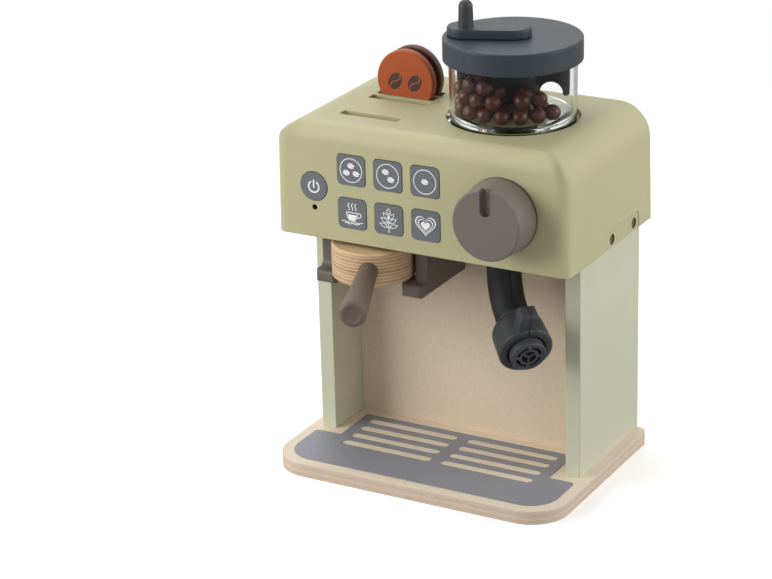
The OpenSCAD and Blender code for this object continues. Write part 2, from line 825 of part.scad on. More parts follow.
module crank_post() {
    r0 = 4.9;
    r1 = 4.2;
    color(charcoal) at_hopper(arm_z + arm_t) rotate(crank_angle) translate([crank_l, 0, 0]) {
        rotate_extrude() {
            intersection() {
                union() {
                    polygon([[0, 0], [r0, 0], [r0 - 0.3, 1.2], [r1, 2.4], [r1 - 0.2, post_h - r1],
                        [0, post_h - r1]]);
                    translate([0, post_h - r1 + 0.2]) circle(r1 - 0.2);
                }
                square([r0 + 1, post_h]);
            }
        }
        translate([0, 0, -arm_t + 0.3]) cylinder(arm_t, r = post_pin_r);
    }
}

module crank_shaft() {
    shaft_l = arm_z - lid_under + shaft_drop + arm_t - 1.2;
    color(steel) at_hopper(lid_under - shaft_drop) cylinder(shaft_l, r = shaft_r);
}

finger_r = 34;
finger_t = 5.5;

module stirrer() {
    // hub that hangs from the shaft, with two arched fingers that sweep round the wall
    hub_bottom = bean_floor + 0.6;
    finger_bottom = hub_bottom + bean_d;
    window = finger_r - finger_t - hub_r;
    hub_top = lid_top - lid_plate - seat;
    arm_top = lid_under - 1.5;
    bow = 7;
    color([0.15, 0.15, 0.16]) difference() {
        union() {
            at_hopper(hub_bottom) cylinder(hub_foot_h, r1 = hub_foot_r, r2 = hub_r);
            at_hopper(hub_bottom + hub_foot_h - eps) cylinder(hub_top - hub_bottom - hub_foot_h, r = hub_r);
            for (a = [0, 180])
                at_hopper(0) rotate(crank_angle + a) translate([0, finger_t / 2, 0]) rotate([90, 0, 0])
                linear_extrude(finger_t) difference() {
                    union() {
                        translate([0, arm_top - 2 * bow]) square([finger_r - bow, 2 * bow]);
                        translate([0, finger_bottom]) square([finger_r, arm_top - bow - finger_bottom]);
                        translate([finger_r - bow, arm_top - bow]) circle(bow);
                    }
                    translate([hub_r - 4, finger_bottom - 1])
                        square([window + 4, arm_top - 13 - finger_bottom + 1]);
                    translate([hub_r + window / 2, arm_top - 12.4]) circle(window / 2);
                }
        }
        at_hopper(lid_under - shaft_drop - 1) cylinder(60, r = shaft_r + 0.02);
    }
}

// ---------- coffee discs ----------

module puck(i) {
    edge = 0.8;
    y = front_y + slot_y[i + 2] + puck_play[i];
    translate([slot_x + slot_l / 2, y, puck_z]) rotate([-90, 0, 0]) rotate_extrude()
        polygon([[0, 0], [puck_d / 2 - edge, 0], [puck_d / 2, edge], [puck_d / 2, puck_t - edge],
            [puck_d / 2 - edge, puck_t], [0, puck_t]]);
}

module puck_orange() color([0.63, 0.31, 0.16]) puck(0);

module puck_brown() color([0.27, 0.18, 0.13]) puck(1);

// ---------- portafilter ----------

module portafilter_disc() {
    edge = 1.2;
    color(ply) translate([filter_x, front_y + filter_y, filter_bottom]) difference() {
        rotate_extrude() difference() {
            polygon([[0, 0], [filter_d / 2 - edge, 0], [filter_d / 2, edge], [filter_d / 2, filter_h - edge],
                [filter_d / 2 - edge, filter_h], [0, filter_h]]);
        }
        to_handle() translate([0, 0, filter_d / 2 - socket_l])
            cylinder(socket_l + 2, r = handle_d0 / 2 + 0.05);
        to_handle() translate([0, 0, -6]) cylinder(filter_d / 2, r = 1.85);
    }
}

socket_l = 6;

module to_handle() {
    // along the handle, out of the middle of the disc
    translate([0, 0, filter_h / 2]) rotate([0, 0, handle_turn]) rotate([90, 0, 0]) children();
}

module portafilter_handle() {
    r0 = handle_d0 / 2;
    r1 = handle_d1 / 2;
    start = filter_d / 2 - socket_l + seat;
    color(taupe) translate([filter_x, front_y + filter_y, filter_bottom]) to_handle() difference() {
        rotate_extrude() {
            polygon([[0, start], [r0, start], [r0, filter_d / 2 + 3], [r1, handle_reach - 6],
                [r1, handle_reach - handle_round], [r1 - handle_round, handle_reach],
                [r1 - 3, handle_reach], [r1 - 4.5, handle_reach - 0.8], [0, handle_reach - 0.8]]);
        }
        translate([0, 0, start - 1]) cylinder(24, r = 1.85);
    }
}

module handle_screw() {
    // wood screw that joins the disc and the handle from inside
    color(steel) translate([filter_x, front_y + filter_y, filter_bottom]) to_handle()
        translate([0, 0, -5]) difference() {
            cylinder(40, r = 1.8);
            rotate([180, 0, 0]) cross_recess(2.2, 1);
        }
}

rail_screw_y = [rail_front + rail_jut + 9, rail_back - 9.7];
rail_shank_r = 1.5;
rail_flange = 10;
rail_flange_t = 2.4;

module at_rail_screws(list = [0 : 3]) {
    for (i = list) {
        side = i < 2 ? -1 : 1;
        x = filter_x + side * (rail_in - rail_flange / 2);
        translate([x, rail_screw_y[i % 2], floor_z - rail_flange_t])
            rotate([180, 0, 0]) children();
    }
}

module rail(side) {
    // side view of the web: straight front, hollow fillet down to a round-nosed foot that juts forward
    fillet = 4;
    nose = 2.2;
    web_front = rail_front + rail_jut;
    foot_top = ledge_z + ledge_t;
    foot_l = rail_back - rail_front;
    color(taupe) difference() {
        translate([filter_x, 0, 0]) mirror([side < 0 ? 1 : 0, 0, 0]) {
            translate([rail_in, 0, 0]) rotate([90, 0, 90]) linear_extrude(rail_out - rail_in) difference() {
                union() {
                    translate([web_front, ledge_z]) square([rail_back - web_front, floor_z - ledge_z]);
                    translate([web_front - fillet, foot_top - eps]) square([fillet + eps, fillet]);
                }
                translate([web_front - fillet, foot_top + fillet]) circle(fillet);
            }
            intersection() {
                translate([ledge_in - 1, 0, 0]) rotate([90, 0, 90]) linear_extrude(rail_out - ledge_in + 2)
                    translate([rail_front, ledge_z]) nosed(foot_l, ledge_t, nose);
                translate([rail_out, rail_front, ledge_z - 1]) rotate(90) linear_extrude(ledge_t + 2)
                    nosed(foot_l, rail_out - ledge_in, nose);
            }
            translate([rail_in - rail_flange, rail_front + rail_jut, floor_z - rail_flange_t])
                cube([rail_flange + eps, rail_back - rail_front - rail_jut, rail_flange_t]);
        }
        at_rail_screws() {
            translate([0, 0, -rail_flange_t - 1]) cylinder(rail_flange_t + 2, r = rail_shank_r + 0.15);
            translate([0, 0, -1.7]) cylinder(2, r1 = rail_shank_r + 0.15, r2 = rail_shank_r + 2.15);
        }
    }
}

module nosed(l, w, r) {
    // l by w, its two corners on the near side of l rounded
    translate([r, 0]) square([l - r, w]);
    translate([0, r]) square([r + 1, w - 2 * r]);
    for (y = [r, w - r]) translate([r, y]) circle(r);
}

module rail_left() rail(-1);

module rail_right() rail(1);

module rail_screw() color(steel) translate([0, 0, -0.2]) flat_screw(3, 1.5, rail_shank_r, 5);

// ---------- steam wand ----------

module wand_frame() {
    // x = outwards in the plane of the bend, z = up the swivel axis, z = 0 on the table
    translate([wand_x, wand_y, 0]) rotate(wand_turn - 90) children();
}

bend_end = [bend_r * 0.4, bend_z - bend_r * 0.8];
barrel_out = [cos(nozzle_dip), -sin(nozzle_dip)];
barrel_back = bend_end + [8.3, -6.55];
barrel_tip = barrel_back + barrel_l * barrel_out;

module along_barrel(distance) {
    // z along the barrel towards the nozzle, y across the seam
    translate([barrel_back[0] + distance * barrel_out[0], 0, barrel_back[1] + distance * barrel_out[1]])
        rotate([0, 90 + nozzle_dip, 0]) children();
}

module half_turn(l, r) rotate_extrude(angle = 180) square([r, l]);

module half_tube(r, up, on) {
    // one side of the bent tube: down the swivel axis, round the bend and a little way on
    translate([0, 0, bend_z]) half_turn(wand_top - bend_z + up, r);
    translate([bend_r, 0, bend_z]) rotate([90, 0, 0]) rotate([0, 0, 180]) rotate_extrude(angle = bend_angle)
        translate([bend_r, 0]) intersection() {
            circle(r);
            translate([-r - 1, -r - 1]) square([2 * r + 2, r + 1]);
        }
    translate([bend_r, 0, bend_z]) rotate([0, -bend_angle, 0]) translate([-bend_r, 0, 0.5])
        rotate([180, 0, 0]) mirror([0, 1, 0]) half_turn(20.5 + on, r - 0.02);
}

module half_barrel() {
    round_r = 8;
    rim_r = 1.6;
    along_barrel(0) rotate_extrude(angle = 180) {
        translate([barrel_r0 - round_r, round_r]) intersection() {
            circle(round_r);
            translate([0, -round_r]) square(round_r);
        }
        square([barrel_r0 - round_r, round_r + eps]);
        polygon([[0, round_r - eps], [barrel_r0, round_r], [barrel_r1, barrel_l - rim_r],
            [0, barrel_l - rim_r]]);
        translate([0, barrel_l - rim_r - eps]) square([barrel_r1 - rim_r, rim_r + eps]);
        translate([barrel_r1 - rim_r, barrel_l - rim_r]) intersection() {
            circle(rim_r);
            square(rim_r);
        }
    }
}

module half_tab() {
    // thumb tab on top of the barrel, from just behind the rim backwards
    tab_w = 11.8;
    tab_l = 11;
    tab_r = 4;
    edge = 2.4;
    root = barrel_r1 - 7.5;
    top = barrel_r1 + 11;
    along_barrel(barrel_l - 1 - tab_l) rotate(180) intersection() {
        linear_extrude(tab_l) mirror([0, 1]) {
            translate([root, 0]) square([top - root - tab_r, tab_w / 2]);
            translate([root, 0]) square([top - root, tab_w / 2 - tab_r]);
            translate([top - tab_r, tab_w / 2 - tab_r]) intersection() {
                circle(tab_r);
                square(tab_r);
            }
        }
        translate([top, tab_w, 0]) rotate([90, 0, 0]) linear_extrude(2 * tab_w)
            mirror([1, 0]) nosed(top - root + 1, tab_l, edge);
    }
}

module wand_half(side) {
    // the two halves meet on the plane of the bend, with a hair line between them
    color(charcoal) wand_frame() mirror([0, side < 0 ? 0 : 1, 0]) translate([0, seam / 2, 0]) difference() {
        union() {
            half_tube(tube_r, 0, 0);
            half_barrel();
            half_tab();
        }
        half_tube(tube_r - tube_wall, 1, 1.5);
        along_barrel(6) half_turn(barrel_l, ring_r + 0.15);
        along_barrel(barrel_l - 1.6) half_turn(4, ring_r + 0.7);
    }
}

ring_r = 11.2;

module wand_half_left() wand_half(-1);

module wand_half_right() wand_half(1);

module nozzle_ring() {
    depth = 12;
    bevel = 0.7;
    end = depth + nozzle_proud + 0.2;
    color(charcoal) wand_frame() along_barrel(barrel_l - depth) rotate_extrude()
        polygon([[grille_r + 0.1, 0], [ring_r, 0], [ring_r, end - bevel], [ring_r - bevel, end],
            [grille_r + 0.1, end]]);
}

grille_r = 9.3;

module nozzle_grille() {
    // round grille with four curved slots and a three-spoked hole
    thick = 4;
    slot_mid = 7.2;
    slot_half = 0.9;
    hole_r = 4.7;
    color([0.2, 0.21, 0.22]) wand_frame() along_barrel(barrel_l + nozzle_proud - thick)
        linear_extrude(thick) difference() {
        circle(grille_r);
        difference() {
            circle(slot_mid + slot_half);
            circle(slot_mid - slot_half);
            for (a = [0, 90]) rotate(a) square([2 * grille_r, 2.2], center = true);
        }
        difference() {
            circle(hole_r);
            for (a = [0 : 120 : 240]) rotate(a) translate([0, -0.6]) square([hole_r + 1, 1.2]);
        }
    }
}

module wand_spigot() {
    // turns in the floor plate's bore; its flange is trapped inside the tube
    color(taupe) translate([wand_x, wand_y, 0]) difference() {
        union() {
            translate([0, 0, bend_z + 2]) cylinder(8, r = tube_r - tube_wall - 0.05);
            translate([0, 0, bend_z + 2]) cylinder(floor_z + 12.4 - bend_z - 2, r = spigot_r);
        }
        translate([0, 0, bend_z + 1]) cylinder(60, r = spigot_r - 2.2);
        translate([0, 0, floor_z + 8 + seat - 0.1]) tube(spigot_r + 1, spigot_r - 0.8, 2.2);
    }
}

module wand_collar() {
    color(taupe) translate([wand_x, wand_y, floor_z + 8 + seat]) tube(11, spigot_r - 0.7, 2);
}

base_board();
drip_mat();
side_panel_left();
side_panel_right();
back_panel();
at_base_screws(0, 0) base_screw();  // base_screw_1
at_base_screws(1, 1) base_screw();  // base_screw_2
at_base_screws(2, 2) base_screw();  // base_screw_3
at_base_screws(3, 3) base_screw();  // base_screw_4
head_shell();
head_floor();
side_plate_left();
side_plate_right();
at_side_screws(-1, [0]) side_screw();  // side_screw_1
at_side_screws(-1, [1]) side_screw();  // side_screw_2
at_side_screws(1, [0]) side_screw();  // side_screw_3
at_side_screws(1, [1]) side_screw();  // side_screw_4
power_button();
key_triple();
key_double();
key_single();
key_cup();
key_leaf();
key_heart();
control_board();
pin_lamp();
speaker();
battery_box();
battery_cells();
battery_door();
door_screw();
selector_knob();
knob_spindle();
spindle_collar();
hopper_cup();
coffee_beans();
hopper_lid();
crank_arm();
crank_post();
crank_shaft();
stirrer();
puck_orange();
puck_brown();
portafilter_disc();
portafilter_handle();
handle_screw();
rail_left();
rail_right();
at_rail_screws([0]) rail_screw();  // rail_screw_1
at_rail_screws([1]) rail_screw();  // rail_screw_2
at_rail_screws([2]) rail_screw();  // rail_screw_3
at_rail_screws([3]) rail_screw();  // rail_screw_4
wand_half_left();
wand_half_right();
nozzle_ring();
nozzle_grille();
wand_spigot();
wand_collar();
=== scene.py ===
import json
import math

import bmesh
import bpy
from mathutils import Matrix, Vector


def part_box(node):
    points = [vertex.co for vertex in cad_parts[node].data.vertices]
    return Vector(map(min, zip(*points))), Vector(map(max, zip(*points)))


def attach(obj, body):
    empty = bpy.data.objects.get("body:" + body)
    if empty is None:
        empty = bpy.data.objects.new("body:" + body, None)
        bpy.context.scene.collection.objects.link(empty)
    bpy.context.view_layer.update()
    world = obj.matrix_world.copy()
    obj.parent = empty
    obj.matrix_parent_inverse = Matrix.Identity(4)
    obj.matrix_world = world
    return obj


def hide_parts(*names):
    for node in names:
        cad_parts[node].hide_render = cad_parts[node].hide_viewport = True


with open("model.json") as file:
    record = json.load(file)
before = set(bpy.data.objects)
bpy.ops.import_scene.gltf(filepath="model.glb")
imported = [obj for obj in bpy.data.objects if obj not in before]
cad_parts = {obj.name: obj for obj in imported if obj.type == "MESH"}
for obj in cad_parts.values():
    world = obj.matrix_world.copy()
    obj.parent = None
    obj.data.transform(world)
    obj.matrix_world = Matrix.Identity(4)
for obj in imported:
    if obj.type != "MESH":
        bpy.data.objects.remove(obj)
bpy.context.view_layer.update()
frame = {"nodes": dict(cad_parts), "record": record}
print("stage: frame loaded")

mm = 0.001

view = {
    "azimuth": 29.628, "elevation": 21.381, "roll": -1.54,
    "place": (0.73444, -1.35624, 0.72946),
    "focalPixels": 2647.86, "imageWidth": 772,
    "sensor": 36, "farthest": 50,
}


def makeCamera():
    # right, up and back are the camera's own axes, rolled a little about the line of sight
    a, e, r = (math.radians(view[k]) for k in ("azimuth", "elevation", "roll"))
    back = Vector((math.sin(a) * math.cos(e), -math.cos(a) * math.cos(e), math.sin(e)))
    level = Vector((math.cos(a), math.sin(a), 0))
    upright = back.cross(level)
    right = level * math.cos(r) + upright * math.sin(r)
    up = upright * math.cos(r) - level * math.sin(r)
    data = bpy.data.cameras.new("camera")
    data.sensor_fit = "HORIZONTAL"
    data.sensor_width = view["sensor"]
    data.lens = view["sensor"] * view["focalPixels"] / view["imageWidth"]
    data.clip_end = view["farthest"]
    camera = bpy.data.objects.new("camera", data)
    turn = Matrix((right, up, back)).transposed().to_4x4()
    camera.matrix_world = Matrix.Translation(view["place"]) @ turn
    bpy.context.scene.collection.objects.link(camera)
    bpy.context.scene.camera = camera


makeCamera()


def boxOf(node):
    # lowest and highest corner of a node's box, in millimetres
    return [[place * 1000 for place in corner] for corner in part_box(node)]


def middleOf(node):
    low, high = boxOf(node)
    return [(a + b) / 2 for a, b in zip(low, high)]


def bottomOf(node):
    return boxOf(node)[0][2]


def topOf(node):
    return boxOf(node)[1][2]


def frontOf(node):
    # the plane of a node's front face
    return boxOf(node)[0][1]


def sideOf(node):
    # how far out a side node's outer face is
    return max(abs(corner[0]) for corner in boxOf(node))


class Signal:
    # one number in a node tree; arithmetic on it adds Math nodes
    def __init__(self, nodes, socket):
        self.nodes = nodes
        self.socket = socket

    def __add__(self, other): return self.nodes.maths("ADD", self, other)
    def __radd__(self, other): return self.nodes.maths("ADD", other, self)
    def __sub__(self, other): return self.nodes.maths("SUBTRACT", self, other)
    def __rsub__(self, other): return self.nodes.maths("SUBTRACT", other, self)
    def __mul__(self, other): return self.nodes.maths("MULTIPLY", self, other)
    def __truediv__(self, other): return self.nodes.maths("DIVIDE", self, other)
    def __pow__(self, other): return self.nodes.maths("POWER", self, other)
    def __mod__(self, other): return self.nodes.maths("FLOORED_MODULO", self, other)
    def __gt__(self, other): return self.nodes.maths("GREATER_THAN", self, other)
    def __lt__(self, other): return self.nodes.maths("LESS_THAN", self, other)
    def __abs__(self): return self.nodes.maths("ABSOLUTE", self)
    def floor(self): return self.nodes.maths("FLOOR", self)
    def positive(self): return self.nodes.maths("MAXIMUM", self, 0)
    def clamped(self): return self.nodes.maths("MINIMUM", self.nodes.maths("MAXIMUM", self, 0), 1)


class Nodes:
    # any node tree: every node in it is made by add
    def __init__(self, tree):
        self.tree = tree
        tree.nodes.clear()

    def add(self, kind, settings=None, values=None):
        node = self.tree.nodes.new(kind if "Node" in kind else "ShaderNode" + kind)
        for key, value in (settings or {}).items():
            if key == "stops":
                self.setStops(node.color_ramp.elements, value)
            else:
                setattr(node, key, value)
        for key, value in (values or {}).items():
            self.feed(node.inputs[key], value)
        return node

    def setStops(self, elements, stops):
        for element, (position, colour) in zip(elements, stops):
            element.position = position
            element.color = (*colour, 1)

    def feed(self, socket, value):
        value = value.socket if isinstance(value, Signal) else value
        if isinstance(value, bpy.types.NodeSocket):
            self.tree.links.new(value, socket)
        elif socket.type == "RGBA":
            socket.default_value = (*value, 1)
        else:
            socket.default_value = value

    def maths(self, operation, *values):
        node = self.add("Math", {"operation": operation}, dict(enumerate(values)))
        return Signal(self, node.outputs[0])

    def path(self, *kinds):
        # 1 on rays of any of those kinds
        node = self.add("LightPath")
        total = sum(Signal(self, node.outputs["Is %s Ray" % kind]) for kind in kinds)
        return total.clamped()

    def straightThrough(self):
        # 1 on rays that have only passed through clear things, without a bounce
        node = self.add("LightPath")
        turns = Signal(self, node.outputs["Ray Depth"]) - Signal(self, node.outputs["Transmission Depth"])
        return (turns < 0.5) * Signal(self, node.outputs["Is Transmission Ray"])

    def mixed(self, factor, first, second):
        return self.add("MixShader", None, {0: factor, 1: first, 2: second}).outputs[0]


class Recipe(Nodes):
    # a material and the nodes in it
    def __init__(self, name):
        self.material = bpy.data.materials.new(name)
        self.material.use_nodes = True
        super().__init__(self.material.node_tree)

    def coords(self):
        return self.add("TexCoord").outputs["Object"]

    def stretched(self, *scale):
        # coordinates multiplied along x, y and z: a low number draws a pattern out along that axis
        return self.add("Mapping", None, {"Vector": self.coords(), "Scale": scale}).outputs[0]

    def axes(self):
        # x, y and z in millimetres
        split = self.add("SeparateXYZ", None, {0: self.coords()})
        return [Signal(self, split.outputs[i]) * 1000 for i in range(3)]

    def steepness(self):
        # how upright the face is: 0 on a level face, 1 on a wall
        split = self.add("SeparateXYZ", None, {0: self.add("TexCoord").outputs["Normal"]})
        return 1 - abs(Signal(self, split.outputs[2]))

    def noise(self, scale, detail=3, rough=0.5, vector=None, distortion=0):
        node = self.add("TexNoise", None, {
            "Vector": vector or self.coords(), "Scale": scale, "Detail": detail,
            "Roughness": rough, "Distortion": distortion})
        return Signal(self, node.outputs[0])

    def ramp(self, factor, first, last):
        # from one (position, colour) to another
        return self.add("ValToRGB", {"stops": (first, last)}, {0: factor}).outputs[0]

    def blend(self, factor, first, second):
        return self.add("Mix", {"data_type": "RGBA"}, {0: factor, 6: first, 7: second}).outputs[2]

    def mottled(self, factor, colour, dark, light):
        # the colour wandering between a darker and a lighter shade of itself
        return self.ramp(factor, (0.3, shaded(colour, dark)), (0.7, shaded(colour, light)))

    def moulding(self, cloud, fine):
        # slow and fine variation together, as in a moulded surface
        return cloud * 0.7 + fine * 0.3

    def eitherNormal(self, factor, first, second):
        # one surface normal or another
        return self.add("Mix", {"data_type": "VECTOR"}, {0: factor, 4: first, 5: second}).outputs[1]

    def soft(self, radius):
        # the surface with its hard edges rounded by that radius in millimetres
        return self.add("Bevel", {"samples": 8}, {"Radius": radius * mm}).outputs[0]

    def bump(self, height, depth, edge=None):
        # depth in millimetres; edge is a radius, or a surface that is already softened
        values = {"Height": height, "Distance": depth * mm, "Strength": 1}
        if edge:
            values["Normal"] = self.soft(edge) if isinstance(edge, (int, float)) else edge
        return self.add("Bump", None, values).outputs[0]

    def surface(self, **values):
        names = {
            "colour": "Base Color", "roughness": "Roughness", "metallic": "Metallic", "normal": "Normal",
            "ior": "IOR", "specular": "Specular IOR Level", "coat": "Coat Weight",
            "coatRoughness": "Coat Roughness", "transmission": "Transmission Weight",
        }
        return self.add("BsdfPrincipled", None, {names[k]: v for k, v in values.items()}).outputs[0]

    def done(self, shader):
        self.add("OutputMaterial", None, {"Surface": shader})
        return self.material


def tint(red, green, blue):
    # a screen colour, 0 to 255, as the linear colour a shader takes
    return tuple((c / 255 / 12.92) if c / 255 <= 0.04045 else ((c / 255 + 0.055) / 1.055) ** 2.4
                 for c in (red, green, blue))


def shaded(colour, factor):
    return tuple(c * factor for c in colour)


boardWood = {
    "light": tint(238, 223, 202), "dark": tint(229, 211, 187), "pore": tint(200, 174, 143),
    "layer": 9 / 7, "origin": 0, "wobble": 0.12,       # seven layers in 9 mm
    "line": 0.18, "lineShade": 0.6, "lineTone": tint(178, 146, 120),
    "longGrain": tint(238, 220, 200), "endGrain": tint(214, 190, 168), "streak": (0.35, 0.68),
}
discWood = {
    "light": tint(229, 199, 156), "dark": tint(205, 167, 120), "pore": tint(176, 134, 90),
    "layer": 2.2, "origin": bottomOf("portafilter_disc"), "wobble": 0.55,
    "line": 0.3, "lineShade": 0.7, "lineTone": tint(236, 212, 176),
    "longGrain": tint(216, 180, 140), "endGrain": tint(172, 130, 95), "streak": (0.32, 0.68),
}


def plywood(name, look):
    # veneer grain on the level faces, stacked layers with glue lines on the edges
    r = Recipe(name)
    along = r.stretched(9, 150, 40)
    grain = r.noise(1.6, 6, 0.62, along, 0.4)
    pores = r.noise(7.0, 3, 0.6, along)
    bands = r.noise(14, 2, 0.5)
    face = r.ramp(grain * 0.75 + bands * 0.25, (0.3, look["dark"]), (0.62, look["light"]))
    face = r.blend((pores - 0.6).clamped() * 2.2, face, look["pore"])
    z = r.axes()[2]
    level = (z - look["origin"] + (r.noise(40, 2, 0.5) - 0.5) * look["wobble"]) / look["layer"]
    ply = level.floor()
    within = level - ply
    own = Signal(r, r.add("TexWhiteNoise", {"noise_dimensions": "1D"}, {"W": ply}).outputs[0])
    streak = r.noise(150, 4, 0.65, r.stretched(1, 1, 7))
    speck = r.noise(700, 3, 0.7, r.stretched(1, 1, 2))
    low, high = look["streak"]
    mix = streak * 0.6 + speck * 0.25 + own * 0.15
    side = r.ramp(mix, (low, look["endGrain"]), (high, look["longGrain"]))
    side = r.blend((within < look["line"]) * look["lineShade"], side, look["lineTone"])
    isEdge = r.steepness() > 0.4
    height = grain * (1 - isEdge) * 0.4 + isEdge * (speck * 0.6 + streak * 0.4)
    return r.done(r.surface(colour=r.blend(isEdge, face, side), roughness=0.45 + isEdge * 0.25,
                            normal=r.bump(height, 0.05, 0.35), specular=0.35))


def fibreBoard(name, colour):
    # smooth light board with a fine fibrous speckle
    r = Recipe(name)
    fine = r.noise(420, 4, 0.65)
    cloud = r.noise(7, 2, 0.5)
    tone = r.mottled(fine * 0.75 + cloud * 0.25, colour, 0.94, 1.05)
    tone = r.blend((r.noise(260, 3, 0.6) - 0.62).clamped() * 1.5, tone, shaded(colour, 0.74))
    return r.done(r.surface(colour=tone, roughness=0.6 + fine * 0.12, specular=0.3,
                            normal=r.bump(fine, 0.03, 0.4)))


def paintedWood(name, colour, roughness=0.5, edge=0.8, specular=0.4):
    # rolled satin paint: a faint orange peel and a little unevenness in the coat
    r = Recipe(name)
    cloud = r.noise(14, 3, 0.5)
    peel = r.noise(1500, 2, 0.5)
    fibre = r.noise(2.2, 4, 0.6, r.stretched(150, 150, 9))
    tone = r.mottled(cloud, colour, 0.965, 1.03)
    return r.done(r.surface(colour=tone, roughness=roughness + (peel - 0.5) * 0.12, specular=specular,
                            normal=r.bump(peel * 0.45 + fibre * 0.55, 0.05, edge)))


def moulded(name, colour, roughness=0.45, edge=0.5, grain=2600, depth=0.02, specular=0.4, wear=0.04):
    # satin moulding with a fine spark-eroded texture
    r = Recipe(name)
    fine = r.noise(grain, 2, 0.6)
    tone = r.mottled(r.moulding(r.noise(22, 3, 0.5), fine), colour, 1 - wear, 1 + wear)
    return r.done(r.surface(colour=tone, roughness=roughness + (fine - 0.5) * 0.16, specular=specular,
                            normal=r.bump(fine, depth, edge)))


def metal(name, colour, roughness=0.3):
    # bright steel with fine machining marks
    r = Recipe(name)
    marks = r.noise(4, 4, 0.7, r.stretched(300, 300, 900))
    tone = r.mottled(marks, colour, 0.86, 1)
    return r.done(r.surface(colour=tone, metallic=1.0, roughness=roughness + marks * 0.15,
                            normal=r.bump(marks, 0.01, 0.15)))


def printedMat(name, colour):
    # flat print on the board: the veneer's pores just show through
    r = Recipe(name)
    pores = r.noise(7.0, 4, 0.62, r.stretched(9, 150, 40))
    speck = r.noise(600, 3, 0.6)
    cloud = r.noise(25, 3, 0.5)
    tone = r.mottled(cloud * 0.5 + speck * 0.5, colour, 0.93, 1.07)
    tone = r.blend((pores - 0.58).clamped() * 0.8, tone, shaded(colour, 0.75))
    return r.done(r.surface(colour=tone, roughness=0.42 + pores * 0.1, normal=r.bump(pores, 0.03, 0.1)))


shell = {
    "edge": 0.7, "shoulder": 11,             # radii of the plain edges and of the wide front corners
    "inward": 23, "down": 21, "behind": 13,  # reach of the wide corners from the side, top and front
    "crisp": 8, "fade": 4,                   # the lowest part stays crisp; width of the change
    "skin": 0.45,                            # the painted shade inside starts this far in from the front
    "wall": 9, "roof": 14,                   # and this far in from the sides and back, and from the top
    # share and darkness of the painted shade inside gaps and holes
    "gapShade": 0.85, "gapTone": 0.12,
}


def housing(name, colour, box):
    # moulded shell: wide soft corners in front, and painted shade inside its gaps and holes
    r = Recipe(name)
    low, high = box
    x, y, z = r.axes()
    half = (high[0] - low[0]) / 2
    across = abs(x)
    beyondSide = (across - (half - shell["inward"])).positive()
    beyondTop = (z - (high[2] - shell["down"])).positive()
    shoulder = (beyondSide ** 2 + beyondTop ** 2) ** 0.5
    corner = ((shoulder - shell["shoulder"]) / shell["fade"]).clamped()
    corner = corner * ((low[1] + shell["behind"] - y) / shell["fade"]).clamped()
    corner = corner * ((z - low[2] - shell["crisp"]) / shell["crisp"]).clamped()
    inside = (y > low[1] + shell["skin"]) * (y < high[1] - shell["wall"])
    inside = inside * (across < half - shell["wall"]) * (z < high[2] - shell["roof"])
    fine = r.noise(2600, 2, 0.6)
    tone = r.mottled(r.moulding(r.noise(9, 3, 0.5), fine), colour, 0.98, 1.02)
    # painted shade: the walls of holes and gaps darkened towards gapTone
    tone = r.blend(inside * shell["gapShade"], tone, shaded(colour, shell["gapTone"]))
    edges = r.eitherNormal(corner, r.soft(shell["edge"]), r.soft(shell["shoulder"]))
    return r.done(r.surface(colour=tone, roughness=0.5 + (fine - 0.5) * 0.14, specular=0.4,
                            normal=r.bump(fine, 0.03, edges)))


gap = {
    # painted shade in the gaps round the keys, the knob and the side plates: its share and darkness
    "shade": 0.85, "tone": 0.1,
    "proud": 0.3,        # a key keeps its own colour this far back from its face; deeper, its sides get painted shade
    "knobBack": 1.9,     # the knob's painted shade starts this far in front of the housing
    "plateFace": 0.25,   # the same for a side plate, in from its outer face
    "deepest": 1000,     # past the back of everything
}


def shadedInGaps(name, colour, axis, start, end, edge=0.25, roughness=0.45, specular=0.35):
    # moulding with painted shade between two planes across an axis, standing in for the shadow in the gap
    # round it
    r = Recipe(name)
    place = r.axes()[axis]
    place = abs(place) if axis == 0 else place
    fine = r.noise(2600, 2, 0.6)
    tone = r.mottled(r.moulding(r.noise(22, 3, 0.5), fine), colour, 0.96, 1.04)
    # painted shade on the faces that lie back in a gap
    tone = r.blend((place > start) * (place < end) * gap["shade"], tone, shaded(colour, gap["tone"]))
    return r.done(r.surface(colour=tone, roughness=roughness + (fine - 0.5) * 0.16, specular=specular,
                            normal=r.bump(fine, 0.02, edge)))


wand = {
    "turn": 45, "dip": 23,                # which way the barrel points: round from the side, and down
    "barrel": 21, "tubeFade": 2,          # the tube's colour starts this far behind the nozzle
    "seam": 2.2, "seamFade": 1.5,         # half width of the crisp strip along the seam
    "crisp": 0.4, "soft": 2.2,            # edge radii on that strip and beside it
}


def wandPlastic(name, tube, barrel, nozzle):
    # matt dark tube and a paler barrel; soft edges, but a crisp seam down the middle
    r = Recipe(name)
    c, s = math.cos(math.radians(wand["turn"])), math.sin(math.radians(wand["turn"]))
    dip = math.radians(wand["dip"])
    away = [place - start for place, start in zip(r.axes(), nozzle)]
    ahead = sum(a * b for a, b in zip(away, (c * math.cos(dip), -s * math.cos(dip), -math.sin(dip))))
    aside = abs(away[0] * s + away[1] * c)
    fine = r.noise(2200, 2, 0.6)
    isTube = ((-wand["barrel"] - ahead) / wand["tubeFade"]).clamped()
    offSeam = ((aside - wand["seam"]) / wand["seamFade"]).clamped()
    edges = r.eitherNormal(offSeam, r.soft(wand["crisp"]), r.soft(wand["soft"]))
    tone = r.mottled(r.moulding(r.noise(22, 3, 0.5), fine), barrel, 0.95, 1.05)
    return r.done(r.surface(colour=r.blend(isTube, tone, tube), specular=0.3,
                            roughness=0.45 + isTube * 0.15 + (fine - 0.5) * 0.14,
                            normal=r.bump(fine, 0.02, edges)))


cupPlastic = {"tone": (0.96, 0.97, 0.96), "shadow": (0.92, 0.93, 0.92), "ior": 1.22}


